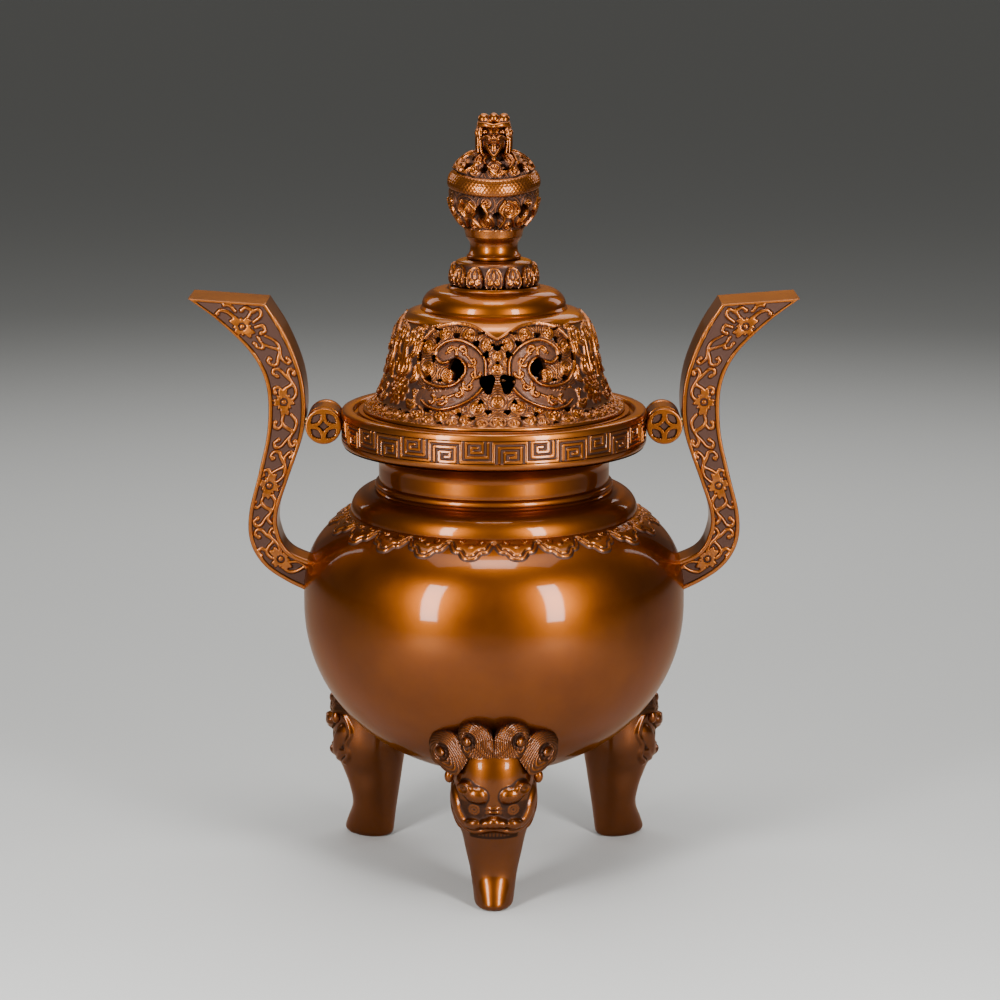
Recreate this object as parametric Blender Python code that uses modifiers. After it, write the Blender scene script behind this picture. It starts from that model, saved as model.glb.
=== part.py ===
"""Lidded tripod incense burner in cast bronze.

Frame: metres, +Z up, origin on the floor under the middle of the bowl.
-Y is the front, where one of the three legs stands; the handles are at -X and +X.
The lid assembly (flange, openwork dome, crown, collar, stem, bead and head) lifts off along +Z.
"""
import math

import bmesh
import bpy
from mathutils import Matrix, Vector

MM = 0.001
GAP = 0.3                      # clearance between touching pieces, mm

# Driving dimensions, mm
BELLY_RADIUS = 125.2           # widest radius of the bowl
BELLY_WIDEST_Z = 176.0
BELLY_RISE = 71.5              # superellipse half height above the widest ring
BELLY_DROP = 112.0             # and below it
RISE_POWER = 3.0
DROP_POWER = 2.08
BELLY_BOTTOM_Z = 67.0
SHOULDER_Z = 236.6             # top of the bowl casting, foot of the neck tier
SHOULDER_RADIUS = 93.9
WALL = 5.0
THROAT_RADIUS = 70.3
NECK_RADIUS = 75.3
NECK_TOP_Z = 281.0
RIM_RADIUS = 99.5
RIM_TOP_Z = 305.0
MOUTH_RADIUS = 84.0            # clear opening inside the rim
RECESS_RADIUS = 91.5           # shallow seat that the lid drops into
RECESS_DEPTH = 4.0
LID_FLANGE_RADIUS = 88.5
LID_BASE_Z = 304.4             # top of the lid flange, foot of the dome
DOME_TOP_Z = 369.5
CROWN_BASE_Z = 369.8
COLLAR_BASE_Z = 385.8
COLLAR_TOP_Z = 402.6
STEM_TOP_Z = 417.5
BEAD_RADIUS = 30.0
BEAD_Z = 444.6
LEG_ANGLES = {"front": -90.0, "rear_left": 150.0, "rear_right": 30.0}
HANDLE_TOP_HALF_DEPTH = 22.0   # half thickness along Y at the flared tip
HANDLE_FOOT_HALF_DEPTH = 13.5
COIN_X = 110.3
COIN_Z = 295.5
COIN_RADIUS = 11.2
COIN_HALF_LENGTH = 18.5
STUD_RADIUS = 2.5
BOLT_RADIUS = 3.0
LEG_BOLT_Z = 98.0
HANDLE_BOLT_Z = 196.5
ROUND_STEPS = 40               # facets round a large turned piece
SMALL_STEPS = 20               # and round a small one

POLISHED = ("polished_bronze", (0.36, 0.16, 0.045), 0.28)
CARVED = ("carved_bronze", (0.25, 0.115, 0.045), 0.42)
FASTENER = ("plain_brass", (0.55, 0.40, 0.18), 0.35)


def clear_scene():
    for item in list(bpy.data.objects):
        bpy.data.objects.remove(item, do_unlink=True)


def new_collection(name):
    collection = bpy.data.collections.new(name)
    bpy.context.scene.collection.children.link(collection)
    return collection


def material(finish):
    name, color, roughness = finish
    made = bpy.data.materials.get(name)
    if made is None:
        made = bpy.data.materials.new(name)
        made.use_nodes = True
        shader = made.node_tree.nodes["Principled BSDF"]
        shader.inputs["Base Color"].default_value = (*color, 1.0)
        shader.inputs["Roughness"].default_value = roughness
        shader.inputs["Metallic"].default_value = 1.0
    return made


def move_to(item, collection):
    for old in list(item.users_collection):
        old.objects.unlink(item)
    collection.objects.link(item)


def as_part(item, name, finish):
    item.name = name
    item.data.name = name
    item.data.materials.clear()
    item.data.materials.append(material(finish).copy())
    item.data.materials[0].name = name + "_finish"
    move_to(item, PARTS)
    return item


def as_cutter(item, name):
    item.name = name
    item.hide_render = True
    item.display_type = "WIRE"
    move_to(item, CUTTERS)
    return item


def mesh_object(name, mesh):
    item = bpy.data.objects.new(name, mesh)
    bpy.context.scene.collection.objects.link(item)
    return item


def smooth(item, angle=40.0):
    item.data.shade_smooth()
    item.data.set_sharp_from_angle(angle=math.radians(angle))


def turned(name, profile, steps=ROUND_STEPS):
    """Turn a closed (radius, height) outline in mm, given down its outer side first, about Z."""
    mesh = bpy.data.meshes.new(name)
    points = [(radius * MM, 0.0, height * MM) for radius, height in profile]
    edges = [(index, (index + 1) % len(points)) for index in range(len(points))]
    if profile[0][0] == 0.0 and profile[-1][0] == 0.0:
        edges.pop()
    mesh.from_pydata(points, edges, [])
    item = mesh_object(name, mesh)
    screw = item.modifiers.new("turn", "SCREW")
    screw.axis = "Z"
    screw.steps = steps
    screw.render_steps = steps
    screw.use_merge_vertices = True
    screw.merge_threshold = 0.00002
    screw.use_smooth_shade = True
    return item


def cylinder(name, radius, length, centre, direction=(0, 0, 1), sides=16):
    """A closed cylinder in mm, centred on a point and lying along a direction."""
    mesh = bpy.data.meshes.new(name)
    shape = bmesh.new()
    bmesh.ops.create_cone(shape, cap_ends=True, segments=sides, radius1=radius * MM,
                          radius2=radius * MM, depth=length * MM)
    shape.to_mesh(mesh)
    shape.free()
    item = mesh_object(name, mesh)
    smooth(item)
    turn = Vector(direction).to_track_quat("Z", "Y").to_matrix().to_4x4()
    item.matrix_world = Matrix.Translation(Vector(centre) * MM) @ turn
    return item


def boolean(item, cutter, operation="DIFFERENCE"):
    step = item.modifiers.new(operation.lower() + "_" + cutter.name, "BOOLEAN")
    step.operation = operation
    step.solver = "EXACT"
    step.object = cutter


def drill(items, name, radius, length, centre, direction, sides=12):
    hole = as_cutter(cylinder(name, radius, length, centre, direction, sides), name)
    for item in items:
        boolean(item, hole)


def around(angle, radius, height):
    """A point in mm at an angle in degrees, a radius and a height."""
    turn = math.radians(angle)
    return (radius * math.cos(turn), radius * math.sin(turn), height)


# ---------------------------------------------------------------- bowl and mouth

def belly_radius(height, grow=0.0):
    """Outer radius of the bowl at a height: a superellipse, fuller above the widest ring."""
    if height > BELLY_WIDEST_Z:
        reach, power = BELLY_RISE + grow, RISE_POWER
    else:
        reach, power = BELLY_DROP + grow, DROP_POWER
    share = abs(height - BELLY_WIDEST_Z) / reach
    return (BELLY_RADIUS + grow) * max(0.0, 1.0 - share ** power) ** (1.0 / power)


def belly_curve(top, bottom, rings, grow=0.0):
    """(radius, height) points down the bowl, closer together towards both ends."""
    points = []
    for index in range(rings):
        share = 0.5 - 0.5 * math.cos(math.pi * index / (rings - 1))
        height = top + (bottom - top) * share
        points.append((belly_radius(height, grow), height))
    return points


def rotate_to_axis(profile):
    """Start an outline that touches the axis twice at its upper axis point."""
    first = [index for index, point in enumerate(profile) if point[0] == 0.0][1]
    return profile[first:] + profile[:first]


def make_belly():
    outer = belly_curve(SHOULDER_Z - GAP, BELLY_BOTTOM_Z, 13)
    inner = belly_curve(SHOULDER_Z - 8.0, BELLY_BOTTOM_Z + WALL, 9, -WALL)
    profile = outer + [(0.0, BELLY_BOTTOM_Z), (0.0, BELLY_BOTTOM_Z + WALL)]
    profile += list(reversed(inner))
    profile += [(THROAT_RADIUS + 6.0, SHOULDER_Z - 4.0), (THROAT_RADIUS, SHOULDER_Z - GAP)]
    item = turned("belly", rotate_to_axis(profile))
    return as_part(item, "belly", POLISHED)


def make_neck():
    flare = [(NECK_RADIUS + 22.7 * (1.0 - math.cos(turn)), 268.0 + 13.0 * math.sin(turn))
             for turn in (math.pi / 2 * index / 3 for index in range(4))]
    tier = [(79.0 + 14.9 * math.sin(turn), 238.5 + 13.5 * math.cos(turn))
            for turn in (math.pi / 2 * index / 3 for index in range(4))]
    profile = list(reversed(flare))
    profile += [(NECK_RADIUS, 258.5), (77.4, 257.4), (77.4, 253.4)]
    profile += tier
    profile += [(SHOULDER_RADIUS, SHOULDER_Z), (THROAT_RADIUS, SHOULDER_Z)]
    profile += [(THROAT_RADIUS, 264.0), (MOUTH_RADIUS, NECK_TOP_Z)]
    item = turned("neck", profile)
    return as_part(item, "neck", POLISHED)


def make_rim():
    seat = RIM_TOP_Z - RECESS_DEPTH
    profile = [(RIM_RADIUS - 1.0, RIM_TOP_Z), (RIM_RADIUS, RIM_TOP_Z - 1.0),
               (RIM_RADIUS, 284.5), (RIM_RADIUS - 1.2, NECK_TOP_Z + GAP),
               (MOUTH_RADIUS, NECK_TOP_Z + GAP), (MOUTH_RADIUS, seat),
               (RECESS_RADIUS, seat), (RECESS_RADIUS, RIM_TOP_Z)]
    item = turned("mouth_rim", profile)
    return as_part(item, "mouth_rim", CARVED)


# ---------------------------------------------------------------- lid

def make_lid_flange():
    under = RIM_TOP_Z - RECESS_DEPTH + GAP
    skirt = MOUTH_RADIUS - 1.0
    profile = [(LID_FLANGE_RADIUS, LID_BASE_Z), (LID_FLANGE_RADIUS, under), (skirt, under),
               (skirt - 0.6, under - 9.0), (skirt - 4.0, under - 9.0), (skirt - 4.0, LID_BASE_Z)]
    item = turned("lid_flange", profile)
    return as_part(item, "lid_flange", POLISHED)


DOME_PROFILE = [(47.2, DOME_TOP_Z), (55.0, 367.6), (60.0, 363.7), (63.2, 357.0), (65.2, 351.0),
                (68.4, 337.0), (72.4, 320.6), (77.0, 311.5), (84.4, 306.6), (84.4, LID_BASE_Z + GAP)]
DOME_WALL = 3.0
VENT_ROWS = ((352.0, 3.6, 6), (337.0, 4.4, 6), (321.0, 3.6, 6))


def make_lid_dome():
    outer = [(39.0, DOME_TOP_Z)] + DOME_PROFILE
    inner = [(79.4, LID_BASE_Z + GAP), (76.0, 308.0), (69.6, 318.0), (65.4, 336.0), (62.0, 350.0),
             (57.6, 360.6), (52.0, 365.2), (39.0, DOME_TOP_Z - DOME_WALL)]
    item = turned("lid_dome", outer + inner)
    as_part(item, "lid_dome", CARVED)
    for row, (height, radius, count) in enumerate(VENT_ROWS):
        for index in range(count):
            pair = 120.0 * (index // 2) - 90.0
            angle = pair + (1 if index % 2 else -1) * (8.0 + 6.0 * row)
            hole = cylinder("vent_cut_%d_%d" % (row, index), radius, 24.0,
                            around(angle, 66.0, height), around(angle, 1.0, 0.0), 6)
            boolean(item, as_cutter(hole, hole.name))
    return item


def make_crown():
    cushion = [(34.5 + 12.1 * math.sin(turn), 372.5 + 10.8 * math.cos(turn))
               for turn in (math.pi / 2 * index / 3 for index in range(4))]
    profile = [(29.8, COLLAR_BASE_Z - GAP), (29.8, 383.6)]
    profile += cushion
    profile += [(47.6, 371.6), (47.6, CROWN_BASE_Z), (36.0, CROWN_BASE_Z), (32.0, 376.0),
                (9.6, 378.0), (9.6, COLLAR_BASE_Z - GAP)]
    item = turned("lid_crown", profile)
    return as_part(item, "lid_crown", POLISHED)


def make_collar():
    profile = [(23.0, COLLAR_TOP_Z), (28.0, 400.0), (28.6, 394.0), (28.6, 390.0),
               (26.0, COLLAR_BASE_Z), (9.6, COLLAR_BASE_Z), (9.6, COLLAR_TOP_Z)]
    item = turned("lotus_collar", profile, SMALL_STEPS * 3 // 2)
    return as_part(item, "lotus_collar", CARVED)


def make_stem():
    """The hollow stem is the chimney to the bead and the screw that clamps the collar down."""
    profile = [(15.5, STEM_TOP_Z - GAP), (16.6, 414.6), (15.3, 411.5), (15.3, 407.0),
               (17.3, 404.4), (17.3, COLLAR_TOP_Z + GAP), (9.2, COLLAR_TOP_Z + GAP),
               (9.2, 364.0), (6.2, 364.0), (6.2, STEM_TOP_Z - GAP)]
    item = turned("knob_stem", profile, SMALL_STEPS)
    return as_part(item, "knob_stem", POLISHED)


def bead_curve(radius, top, bottom, rings):
    """Points down a ball from polar angle top to bottom, in degrees, a little squat."""
    points = []
    for index in range(rings):
        polar = math.radians(top + (bottom - top) * index / (rings - 1))
        points.append((radius * math.sin(polar), BEAD_Z + 0.93 * radius * math.cos(polar)))
    return points


def make_bead():
    outer = bead_curve(BEAD_RADIUS, 0.0, 152.0, 9)
    outer[0] = (0.0, outer[0][1])
    inner = bead_curve(BEAD_RADIUS - 5.0, 0.0, 165.0, 7)
    inner[0] = (0.0, inner[0][1])
    profile = outer + [(15.6, STEM_TOP_Z), (6.6, STEM_TOP_Z)] + list(reversed(inner))
    item = turned("dragon_bead", profile, SMALL_STEPS)
    as_part(item, "dragon_bead", CARVED)
    for row, (height, offset) in enumerate(((458.5, 30.0), (433.0, 0.0))):
        for index in range(6):
            angle = 60.0 * index + offset
            hole = cylinder("bead_cut_%d_%d" % (row, index), 4.6, 20.0,
                            around(angle, 27.0, height), around(angle, 1.0, 0.0), 6)
            boolean(item, as_cutter(hole, hole.name))
    return item


def soft_block(name, size, centre, levels=2):
    """A box of the given full size in mm, rounded off by subdivision."""
    mesh = bpy.data.meshes.new(name)
    shape = bmesh.new()
    bmesh.ops.create_cube(shape, size=1.0)
    bmesh.ops.scale(shape, vec=Vector(size) * MM, verts=shape.verts)
    bmesh.ops.translate(shape, vec=Vector(centre) * MM, verts=shape.verts)
    shape.to_mesh(mesh)
    shape.free()
    item = mesh_object(name, mesh)
    rounding = item.modifiers.new("round", "SUBSURF")
    rounding.levels = levels
    rounding.render_levels = levels
    return item


def make_head():
    """The creature's head that rides on the bead, its snout towards the front."""
    item = soft_block("dragon_head", (30.0, 34.0, 32.0), (0.6, -3.0, 483.0))
    as_part(item, "dragon_head", CARVED)
    snout = soft_block("snout_add", (22.0, 20.0, 20.0), (0.6, -17.0, 478.0))
    boolean(item, as_cutter(snout, "snout_add"), "UNION")
    under = turned("head_under_cut", [(0.0, 473.0)] + bead_curve(BEAD_RADIUS + GAP, 5.0, 90.0, 9)
                   + [(0.0, BEAD_Z)], SMALL_STEPS)
    boolean(item, as_cutter(under, "head_under_cut"))
    return item


def make_knob_fasteners():
    washer = turned("knob_washer", [(17.0, 377.2), (17.0, 375.6), (9.6, 375.6), (9.6, 377.2)],
                    SMALL_STEPS)
    as_part(washer, "knob_washer", FASTENER)
    nut = cylinder("knob_nut", 14.5, 7.2, (0.0, 0.0, 371.6), sides=6)
    as_part(nut, "knob_nut", FASTENER)
    drill([nut], "knob_nut_hole", 9.7, 12.0, (0.0, 0.0, 371.6), (0.0, 0.0, 1.0), SMALL_STEPS)


# ---------------------------------------------------------------- legs

# Sections of the front leg from the sole up: height, middle radius from the bowl's axis, and
# half sizes along the radius and across it, mm
LEG_SECTIONS = ((0.0, 99.0, 15.0, 10.5), (3.0, 99.0, 17.8, 12.4), (10.0, 97.5, 17.0, 13.4),
                (22.0, 94.5, 15.2, 15.2), (35.0, 94.5, 17.0, 18.0), (47.0, 96.0, 20.5, 20.5),
                (57.0, 97.5, 23.0, 24.0), (68.0, 98.0, 24.5, 26.6), (84.0, 98.0, 25.0, 25.5),
                (98.0, 96.0, 25.0, 25.0), (112.0, 90.0, 25.0, 25.0))
LEG_SIDES = 16
MANE_SIZE = (84.0, 30.0, 46.0)
MANE_CENTRE = (0.0, -106.0, 107.0)


def leg_loft(name, turn):
    """Bridge the leg's oval sections and cap both ends."""
    mesh = bpy.data.meshes.new(name)
    shape = bmesh.new()
    rings = []
    for height, middle, along, across in LEG_SECTIONS:
        ring = []
        for side in range(LEG_SIDES):
            angle = 2.0 * math.pi * side / LEG_SIDES
            place = Vector((across * math.cos(angle), -middle + along * math.sin(angle), height))
            ring.append(shape.verts.new(turn @ (place * MM)))
        rings.append(ring)
    for low, high in zip(rings, rings[1:]):
        for side in range(LEG_SIDES):
            nxt = (side + 1) % LEG_SIDES
            shape.faces.new((low[side], low[nxt], high[nxt], high[side]))
    shape.faces.new(list(reversed(rings[0])))
    shape.faces.new(rings[-1])
    shape.to_mesh(mesh)
    shape.free()
    item = mesh_object(name, mesh)
    smooth(item)
    return item


def belly_clearance():
    """A solid of the bowl's outer shape grown by the gap, for what is cut to sit on it."""
    outer = belly_curve(SHOULDER_Z, BELLY_BOTTOM_Z - 0.5, 40, GAP)
    item = turned("belly_clearance", [(0.0, SHOULDER_Z)] + outer
                  + [(0.0, BELLY_BOTTOM_Z - 0.5)], 2 * ROUND_STEPS)
    return as_cutter(item, "belly_clearance")


def make_leg(place, clearance):
    turn = Matrix.Rotation(math.radians(LEG_ANGLES[place] + 90.0), 4, "Z")
    leg = as_part(leg_loft("leg_" + place, turn), "leg_" + place, CARVED)
    mane = soft_block("mane_" + place, MANE_SIZE, (0.0, 0.0, 0.0))
    tilt = Matrix.Rotation(math.radians(-24.0), 4, "X")
    mane.matrix_world = turn @ Matrix.Translation(Vector(MANE_CENTRE) * MM) @ tilt
    boolean(leg, as_cutter(mane, mane.name), "UNION")
    boolean(leg, clearance)
    return leg


# ---------------------------------------------------------------- handles

HANDLE_INNER = ((146.2, 375.6), (134.0, 355.6), (124.6, 331.5), (121.8, 309.0), (124.6, 287.0),
                (134.6, 258.0), (141.0, 238.0), (140.6, 224.0), (133.0, 210.5), (112.0, 201.5))
HANDLE_OUTER = ((112.0, 180.0), (136.0, 191.6), (151.0, 203.0), (159.2, 218.5), (159.4, 238.0),
                (152.4, 266.0), (146.4, 294.0), (146.6, 322.0), (156.0, 343.5), (176.4, 364.4),
                (195.8, 379.2))
HANDLE_CURVE_STEPS = 3


def handle_half_depth(height):
    share = (height - 200.0) / 175.0
    return HANDLE_FOOT_HALF_DEPTH + (HANDLE_TOP_HALF_DEPTH - HANDLE_FOOT_HALF_DEPTH) * share


def handle_blank(name, side):
    """The S-shaped handle: a flat outline with depth, drawn in a little towards its foot."""
    curve = bpy.data.curves.new(name, "CURVE")
    curve.dimensions = "2D"
    curve.fill_mode = "BOTH"
    curve.extrude = HANDLE_TOP_HALF_DEPTH * MM
    curve.resolution_u = HANDLE_CURVE_STEPS
    spline = curve.splines.new("BEZIER")
    outline = HANDLE_INNER + HANDLE_OUTER
    spline.bezier_points.add(len(outline) - 1)
    corners = (0, len(HANDLE_INNER) - 1, len(HANDLE_INNER), len(outline) - 1)
    for index, (across, height) in enumerate(outline):
        point = spline.bezier_points[index]
        point.co = (side * across * MM, height * MM, 0.0)
        kind = "VECTOR" if index in corners else "AUTO"
        point.handle_left_type = kind
        point.handle_right_type = kind
    spline.use_cyclic_u = True
    source = mesh_object(name + "_outline", curve)
    source.matrix_world = Matrix.Rotation(math.radians(90.0), 4, "X")
    bpy.context.view_layer.update()
    evaluated = source.evaluated_get(bpy.context.evaluated_depsgraph_get())
    mesh = bpy.data.meshes.new_from_object(evaluated)
    mesh.transform(source.matrix_world)
    bpy.data.objects.remove(source, do_unlink=True)
    shape = bmesh.new()
    shape.from_mesh(mesh)
    bmesh.ops.remove_doubles(shape, verts=shape.verts, dist=0.00002)
    for vert in shape.verts:
        vert.co.y = math.copysign(handle_half_depth(vert.co.z / MM) * MM, vert.co.y)
    bmesh.ops.recalc_face_normals(shape, faces=shape.faces)
    shape.to_mesh(mesh)
    shape.free()
    item = mesh_object(name, mesh)
    smooth(item)
    return item


def make_handle(name, side, clearance):
    item = as_part(handle_blank("handle_" + name, side), "handle_" + name, CARVED)
    boolean(item, clearance)
    return item


def make_coin(name, side):
    coin = cylinder("coin_" + name, COIN_RADIUS, 2.0 * COIN_HALF_LENGTH,
                    (side * COIN_X, 0.0, COIN_Z), (0.0, -1.0, 0.0), 24)
    as_part(coin, "coin_" + name, CARVED)
    room = cylinder("rim_clearance_" + name, RIM_RADIUS + GAP, 40.0, (0.0, 0.0, COIN_Z),
                    (0.0, 0.0, 1.0), ROUND_STEPS)
    boolean(coin, as_cutter(room, room.name))
    for end in (-1, 1):
        for quarter in range(4):
            turn = math.radians(45.0 + 90.0 * quarter)
            centre = (side * COIN_X + 5.6 * math.cos(turn), end * COIN_HALF_LENGTH,
                      COIN_Z + 5.6 * math.sin(turn))
            dish = cylinder("coin_dish_%s_%d_%d" % (name, end, quarter), 2.4, 3.0, centre,
                            (0.0, 1.0, 0.0), 8)
            boolean(coin, as_cutter(dish, dish.name))
    return coin


# ---------------------------------------------------------------- fasteners

def make_stud(name, side, holed):
    """A threaded stud that joins the rim, the coin and the handle along X."""
    start, end = 93.5, 132.0
    centre = (side * (start + end) / 2.0, 0.0, COIN_Z)
    stud = cylinder("rim_stud_" + name, STUD_RADIUS, end - start, centre, (1.0, 0.0, 0.0), 12)
    as_part(stud, "rim_stud_" + name, FASTENER)
    drill(holed, "stud_hole_" + name, STUD_RADIUS + GAP, end - start + 2.0 * GAP, centre,
          (1.0, 0.0, 0.0))


def make_bolt(name, seat, direction, reach, stand_off, holed):
    """A hexagon bolt and washer inside the bowl; the seat is on the bowl's inner face, and the
    washer bridges its curve by the stand-off."""
    direction = Vector(direction).normalized()
    seat = Vector(seat)
    washer_thick, head_thick = 1.6, 4.0
    washer = cylinder("washer_" + name, 7.0, washer_thick,
                      seat - direction * (stand_off + washer_thick / 2.0), direction, 16)
    as_part(washer, "washer_" + name, FASTENER)
    head_low = stand_off + washer_thick + GAP
    bolt = cylinder("bolt_" + name, BOLT_RADIUS, reach + head_low + 1.0,
                    seat + direction * (reach - head_low - 1.0) / 2.0, direction, 12)
    as_part(bolt, "bolt_" + name, FASTENER)
    head = cylinder("bolt_head_" + name, 5.8, head_thick,
                    seat - direction * (head_low + head_thick / 2.0), direction, 6)
    boolean(bolt, as_cutter(head, head.name), "UNION")
    length = reach + 6.0
    drill([washer] + holed, "bolt_hole_" + name, BOLT_RADIUS + GAP, length + GAP,
          seat + direction * (length / 2.0 - 6.0 + GAP / 2.0), direction)


def belly_normal(height):
    """Outward (radial, upward) direction square to the bowl's surface below its widest ring."""
    share_out = belly_radius(height) / BELLY_RADIUS
    share_down = (BELLY_WIDEST_Z - height) / BELLY_DROP
    bend = DROP_POWER - 1.0
    normal = Vector((share_out ** bend / BELLY_RADIUS, -share_down ** bend / BELLY_DROP))
    return normal.normalized()


def fasten_leg(place, leg, belly):
    normal = belly_normal(LEG_BOLT_Z)
    surface = Vector((belly_radius(LEG_BOLT_Z), LEG_BOLT_Z)) - normal * WALL
    angle = LEG_ANGLES[place]
    make_bolt("leg_" + place, around(angle, surface[0], surface[1]),
              around(angle, normal[0], normal[1]), 22.0, 2.4, [belly, leg])


def fasten_handle(name, side, handle, belly):
    radius = belly_radius(HANDLE_BOLT_Z) - WALL
    make_bolt("handle_" + name, (side * radius, 0.0, HANDLE_BOLT_Z), (side, 0.0, 0.0), 20.0, 3.6,
              [belly, handle])


# ---------------------------------------------------------------- assembly

def build():
    belly = make_belly()
    make_neck()
    rim = make_rim()
    clearance = belly_clearance()
    for place in LEG_ANGLES:
        fasten_leg(place, make_leg(place, clearance), belly)
    for name, side in (("left", -1), ("right", 1)):
        handle = make_handle(name, side, clearance)
        coin = make_coin(name, side)
        make_stud(name, side, [rim, coin, handle])
        fasten_handle(name, side, handle, belly)
    make_lid_flange()
    make_lid_dome()
    make_crown()
    make_collar()
    make_stem()
    make_bead()
    make_head()
    make_knob_fasteners()


clear_scene()
PARTS = new_collection("incense_burner")
CUTTERS = new_collection("cutters")
build()
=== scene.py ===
"""Looks of the lidded tripod incense burner: relief, openwork, finishes, floor, lights and camera."""
import math

import bmesh
import bpy
import numpy as np
from mathutils import Matrix, Vector


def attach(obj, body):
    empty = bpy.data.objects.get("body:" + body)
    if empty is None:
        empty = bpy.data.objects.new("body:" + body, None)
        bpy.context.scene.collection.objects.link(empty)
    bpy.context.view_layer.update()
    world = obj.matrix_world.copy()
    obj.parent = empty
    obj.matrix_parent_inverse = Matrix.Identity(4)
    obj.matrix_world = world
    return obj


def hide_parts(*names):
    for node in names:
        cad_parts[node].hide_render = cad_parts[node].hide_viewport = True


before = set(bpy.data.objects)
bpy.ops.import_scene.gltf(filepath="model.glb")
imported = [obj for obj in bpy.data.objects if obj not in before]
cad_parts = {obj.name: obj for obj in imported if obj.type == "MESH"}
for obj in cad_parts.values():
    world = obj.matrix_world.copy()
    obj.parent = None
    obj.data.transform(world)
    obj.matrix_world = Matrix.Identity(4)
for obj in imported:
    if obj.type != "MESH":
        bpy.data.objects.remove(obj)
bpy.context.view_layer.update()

MM = 0.001
TAU = 2.0 * math.pi
INNER_TONE = 0.3               # tone of the hidden side of an openwork wall
ROUND_STEPS = 4                # spans in a rounded corner


# ---------------------------------------------------------------- mesh building

def new_object(name, data):
    """An object with its data, linked to the scene."""
    item = bpy.data.objects.new(name, data)
    bpy.context.scene.collection.objects.link(item)
    return item


def mesh_object(name, place, quads, tone):
    """An object from points in mm, four-cornered faces and a tone for each point."""
    mesh = bpy.data.meshes.new(name)
    mesh.vertices.add(len(place))
    mesh.vertices.foreach_set("co", (place * MM).astype(np.float32).ravel())
    mesh.loops.add(quads.size)
    mesh.loops.foreach_set("vertex_index", quads.astype(np.int32).ravel())
    mesh.polygons.add(len(quads))
    mesh.polygons.foreach_set("loop_start", np.arange(0, quads.size, 4, dtype=np.int32))
    mesh.update(calc_edges=True)
    mesh.attributes.new("tone", "FLOAT", "POINT")
    mesh.attributes["tone"].data.foreach_set("value", tone.astype(np.float32))
    return new_object(name, mesh)


def side_by_side(rows, columns, wrap):
    """The numbers of a grid's points, and of the next point in the row of each."""
    index = np.arange(rows * columns).reshape(rows, columns)
    if wrap:
        return index, np.roll(index, -1, axis=1)
    return index[:, :-1], index[:, 1:]


def grid_object(name, points, tone=None, wrap_u=False, wrap_v=False, flip=False):
    """A mesh on a (rows, columns, 3) grid of points in mm; tone is 0 in a recess, 1 on a ridge."""
    rows, columns = points.shape[:2]
    left, right = side_by_side(rows, columns, wrap_u)
    if wrap_v:
        low_left, low_right = left, right
        top_left, top_right = np.roll(left, -1, axis=0), np.roll(right, -1, axis=0)
    else:
        low_left, low_right, top_left, top_right = left[:-1], right[:-1], left[1:], right[1:]
    quads = np.stack([low_left, low_right, top_right, top_left], -1).reshape(-1, 4)
    if flip:
        quads = quads[:, ::-1]
    used, quads = np.unique(quads, return_inverse=True)
    values = np.ones(rows * columns) if tone is None else np.broadcast_to(tone, (rows, columns))
    return mesh_object(name, points.reshape(-1, 3)[used], quads.reshape(-1, 4),
                       values.reshape(-1)[used])


def outline_snapped(points, inside, wrap_u):
    """The grid with its last kept points slid onto the outline where inside is zero."""
    keep = inside > 0.0
    outside = np.zeros(keep.shape, bool)
    for rows in (-1, 0, 1):
        for columns in (-1, 0, 1):
            moved = np.roll(np.roll(keep, rows, axis=0), columns, axis=1)
            if rows:
                moved[0 if rows > 0 else -1] = True
            if columns and not wrap_u:
                moved[:, 0 if columns > 0 else -1] = True
            outside |= ~moved
    rim = keep & outside
    along_v, along_u = np.gradient(points, axis=0), np.gradient(points, axis=1)
    size_v = np.maximum(np.linalg.norm(along_v, axis=-1), 1e-6)
    size_u = np.maximum(np.linalg.norm(along_u, axis=-1), 1e-6)
    slope_v = np.gradient(inside, axis=0) / size_v
    slope_u = np.gradient(inside, axis=1) / size_u
    steep = np.maximum(slope_u ** 2 + slope_v ** 2, 0.3)
    step_u = (slope_u / size_u / steep)[..., None] * along_u
    step_v = (slope_v / size_v / steep)[..., None] * along_v
    moved = np.array(points)
    moved[rim] -= (np.clip(inside, 0.0, 0.6)[..., None] * (step_u + step_v))[rim]
    return moved, keep


def slab(name, front, back, tone, inside, wrap_u=False):
    """A closed plate between two grids, with walls down its outline and round its holes."""
    front, keep = outline_snapped(front, inside, wrap_u)
    back, _ = outline_snapped(back, inside, wrap_u)
    left, right = side_by_side(*keep.shape, wrap_u)
    quads = np.stack([left[:-1], right[:-1], right[1:], left[1:]], -1).reshape(-1, 4)
    quads = quads[keep.reshape(-1)[quads].all(axis=1)]
    edges = np.concatenate([quads[:, [k, (k + 1) % 4]] for k in range(4)])
    total = keep.size
    code = edges[:, 0].astype(np.int64) * total + edges[:, 1]
    reverse = edges[:, 1].astype(np.int64) * total + edges[:, 0]
    rim = edges[~np.isin(code, reverse)]
    walls = np.stack([rim[:, 1], rim[:, 0], rim[:, 0] + total, rim[:, 1] + total], -1)
    quads = np.concatenate([quads, quads[:, ::-1] + total, walls])
    used, quads = np.unique(quads, return_inverse=True)
    quads = quads.reshape(-1, 4)
    place = np.concatenate([front.reshape(-1, 3), back.reshape(-1, 3)])
    values = np.concatenate([tone.reshape(-1), np.full(total, INNER_TONE)])
    return mesh_object(name, place[used], quads, values[used])


def weld(item, distance=0.00001):
    """Join the points that meet where a grid closes to a point, and drop its empty faces."""
    shape = bmesh.new()
    shape.from_mesh(item.data)
    bmesh.ops.remove_doubles(shape, verts=shape.verts, dist=distance)
    bmesh.ops.dissolve_degenerate(shape, edges=shape.edges, dist=distance / 10.0)
    shape.to_mesh(item.data)
    shape.free()


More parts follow.
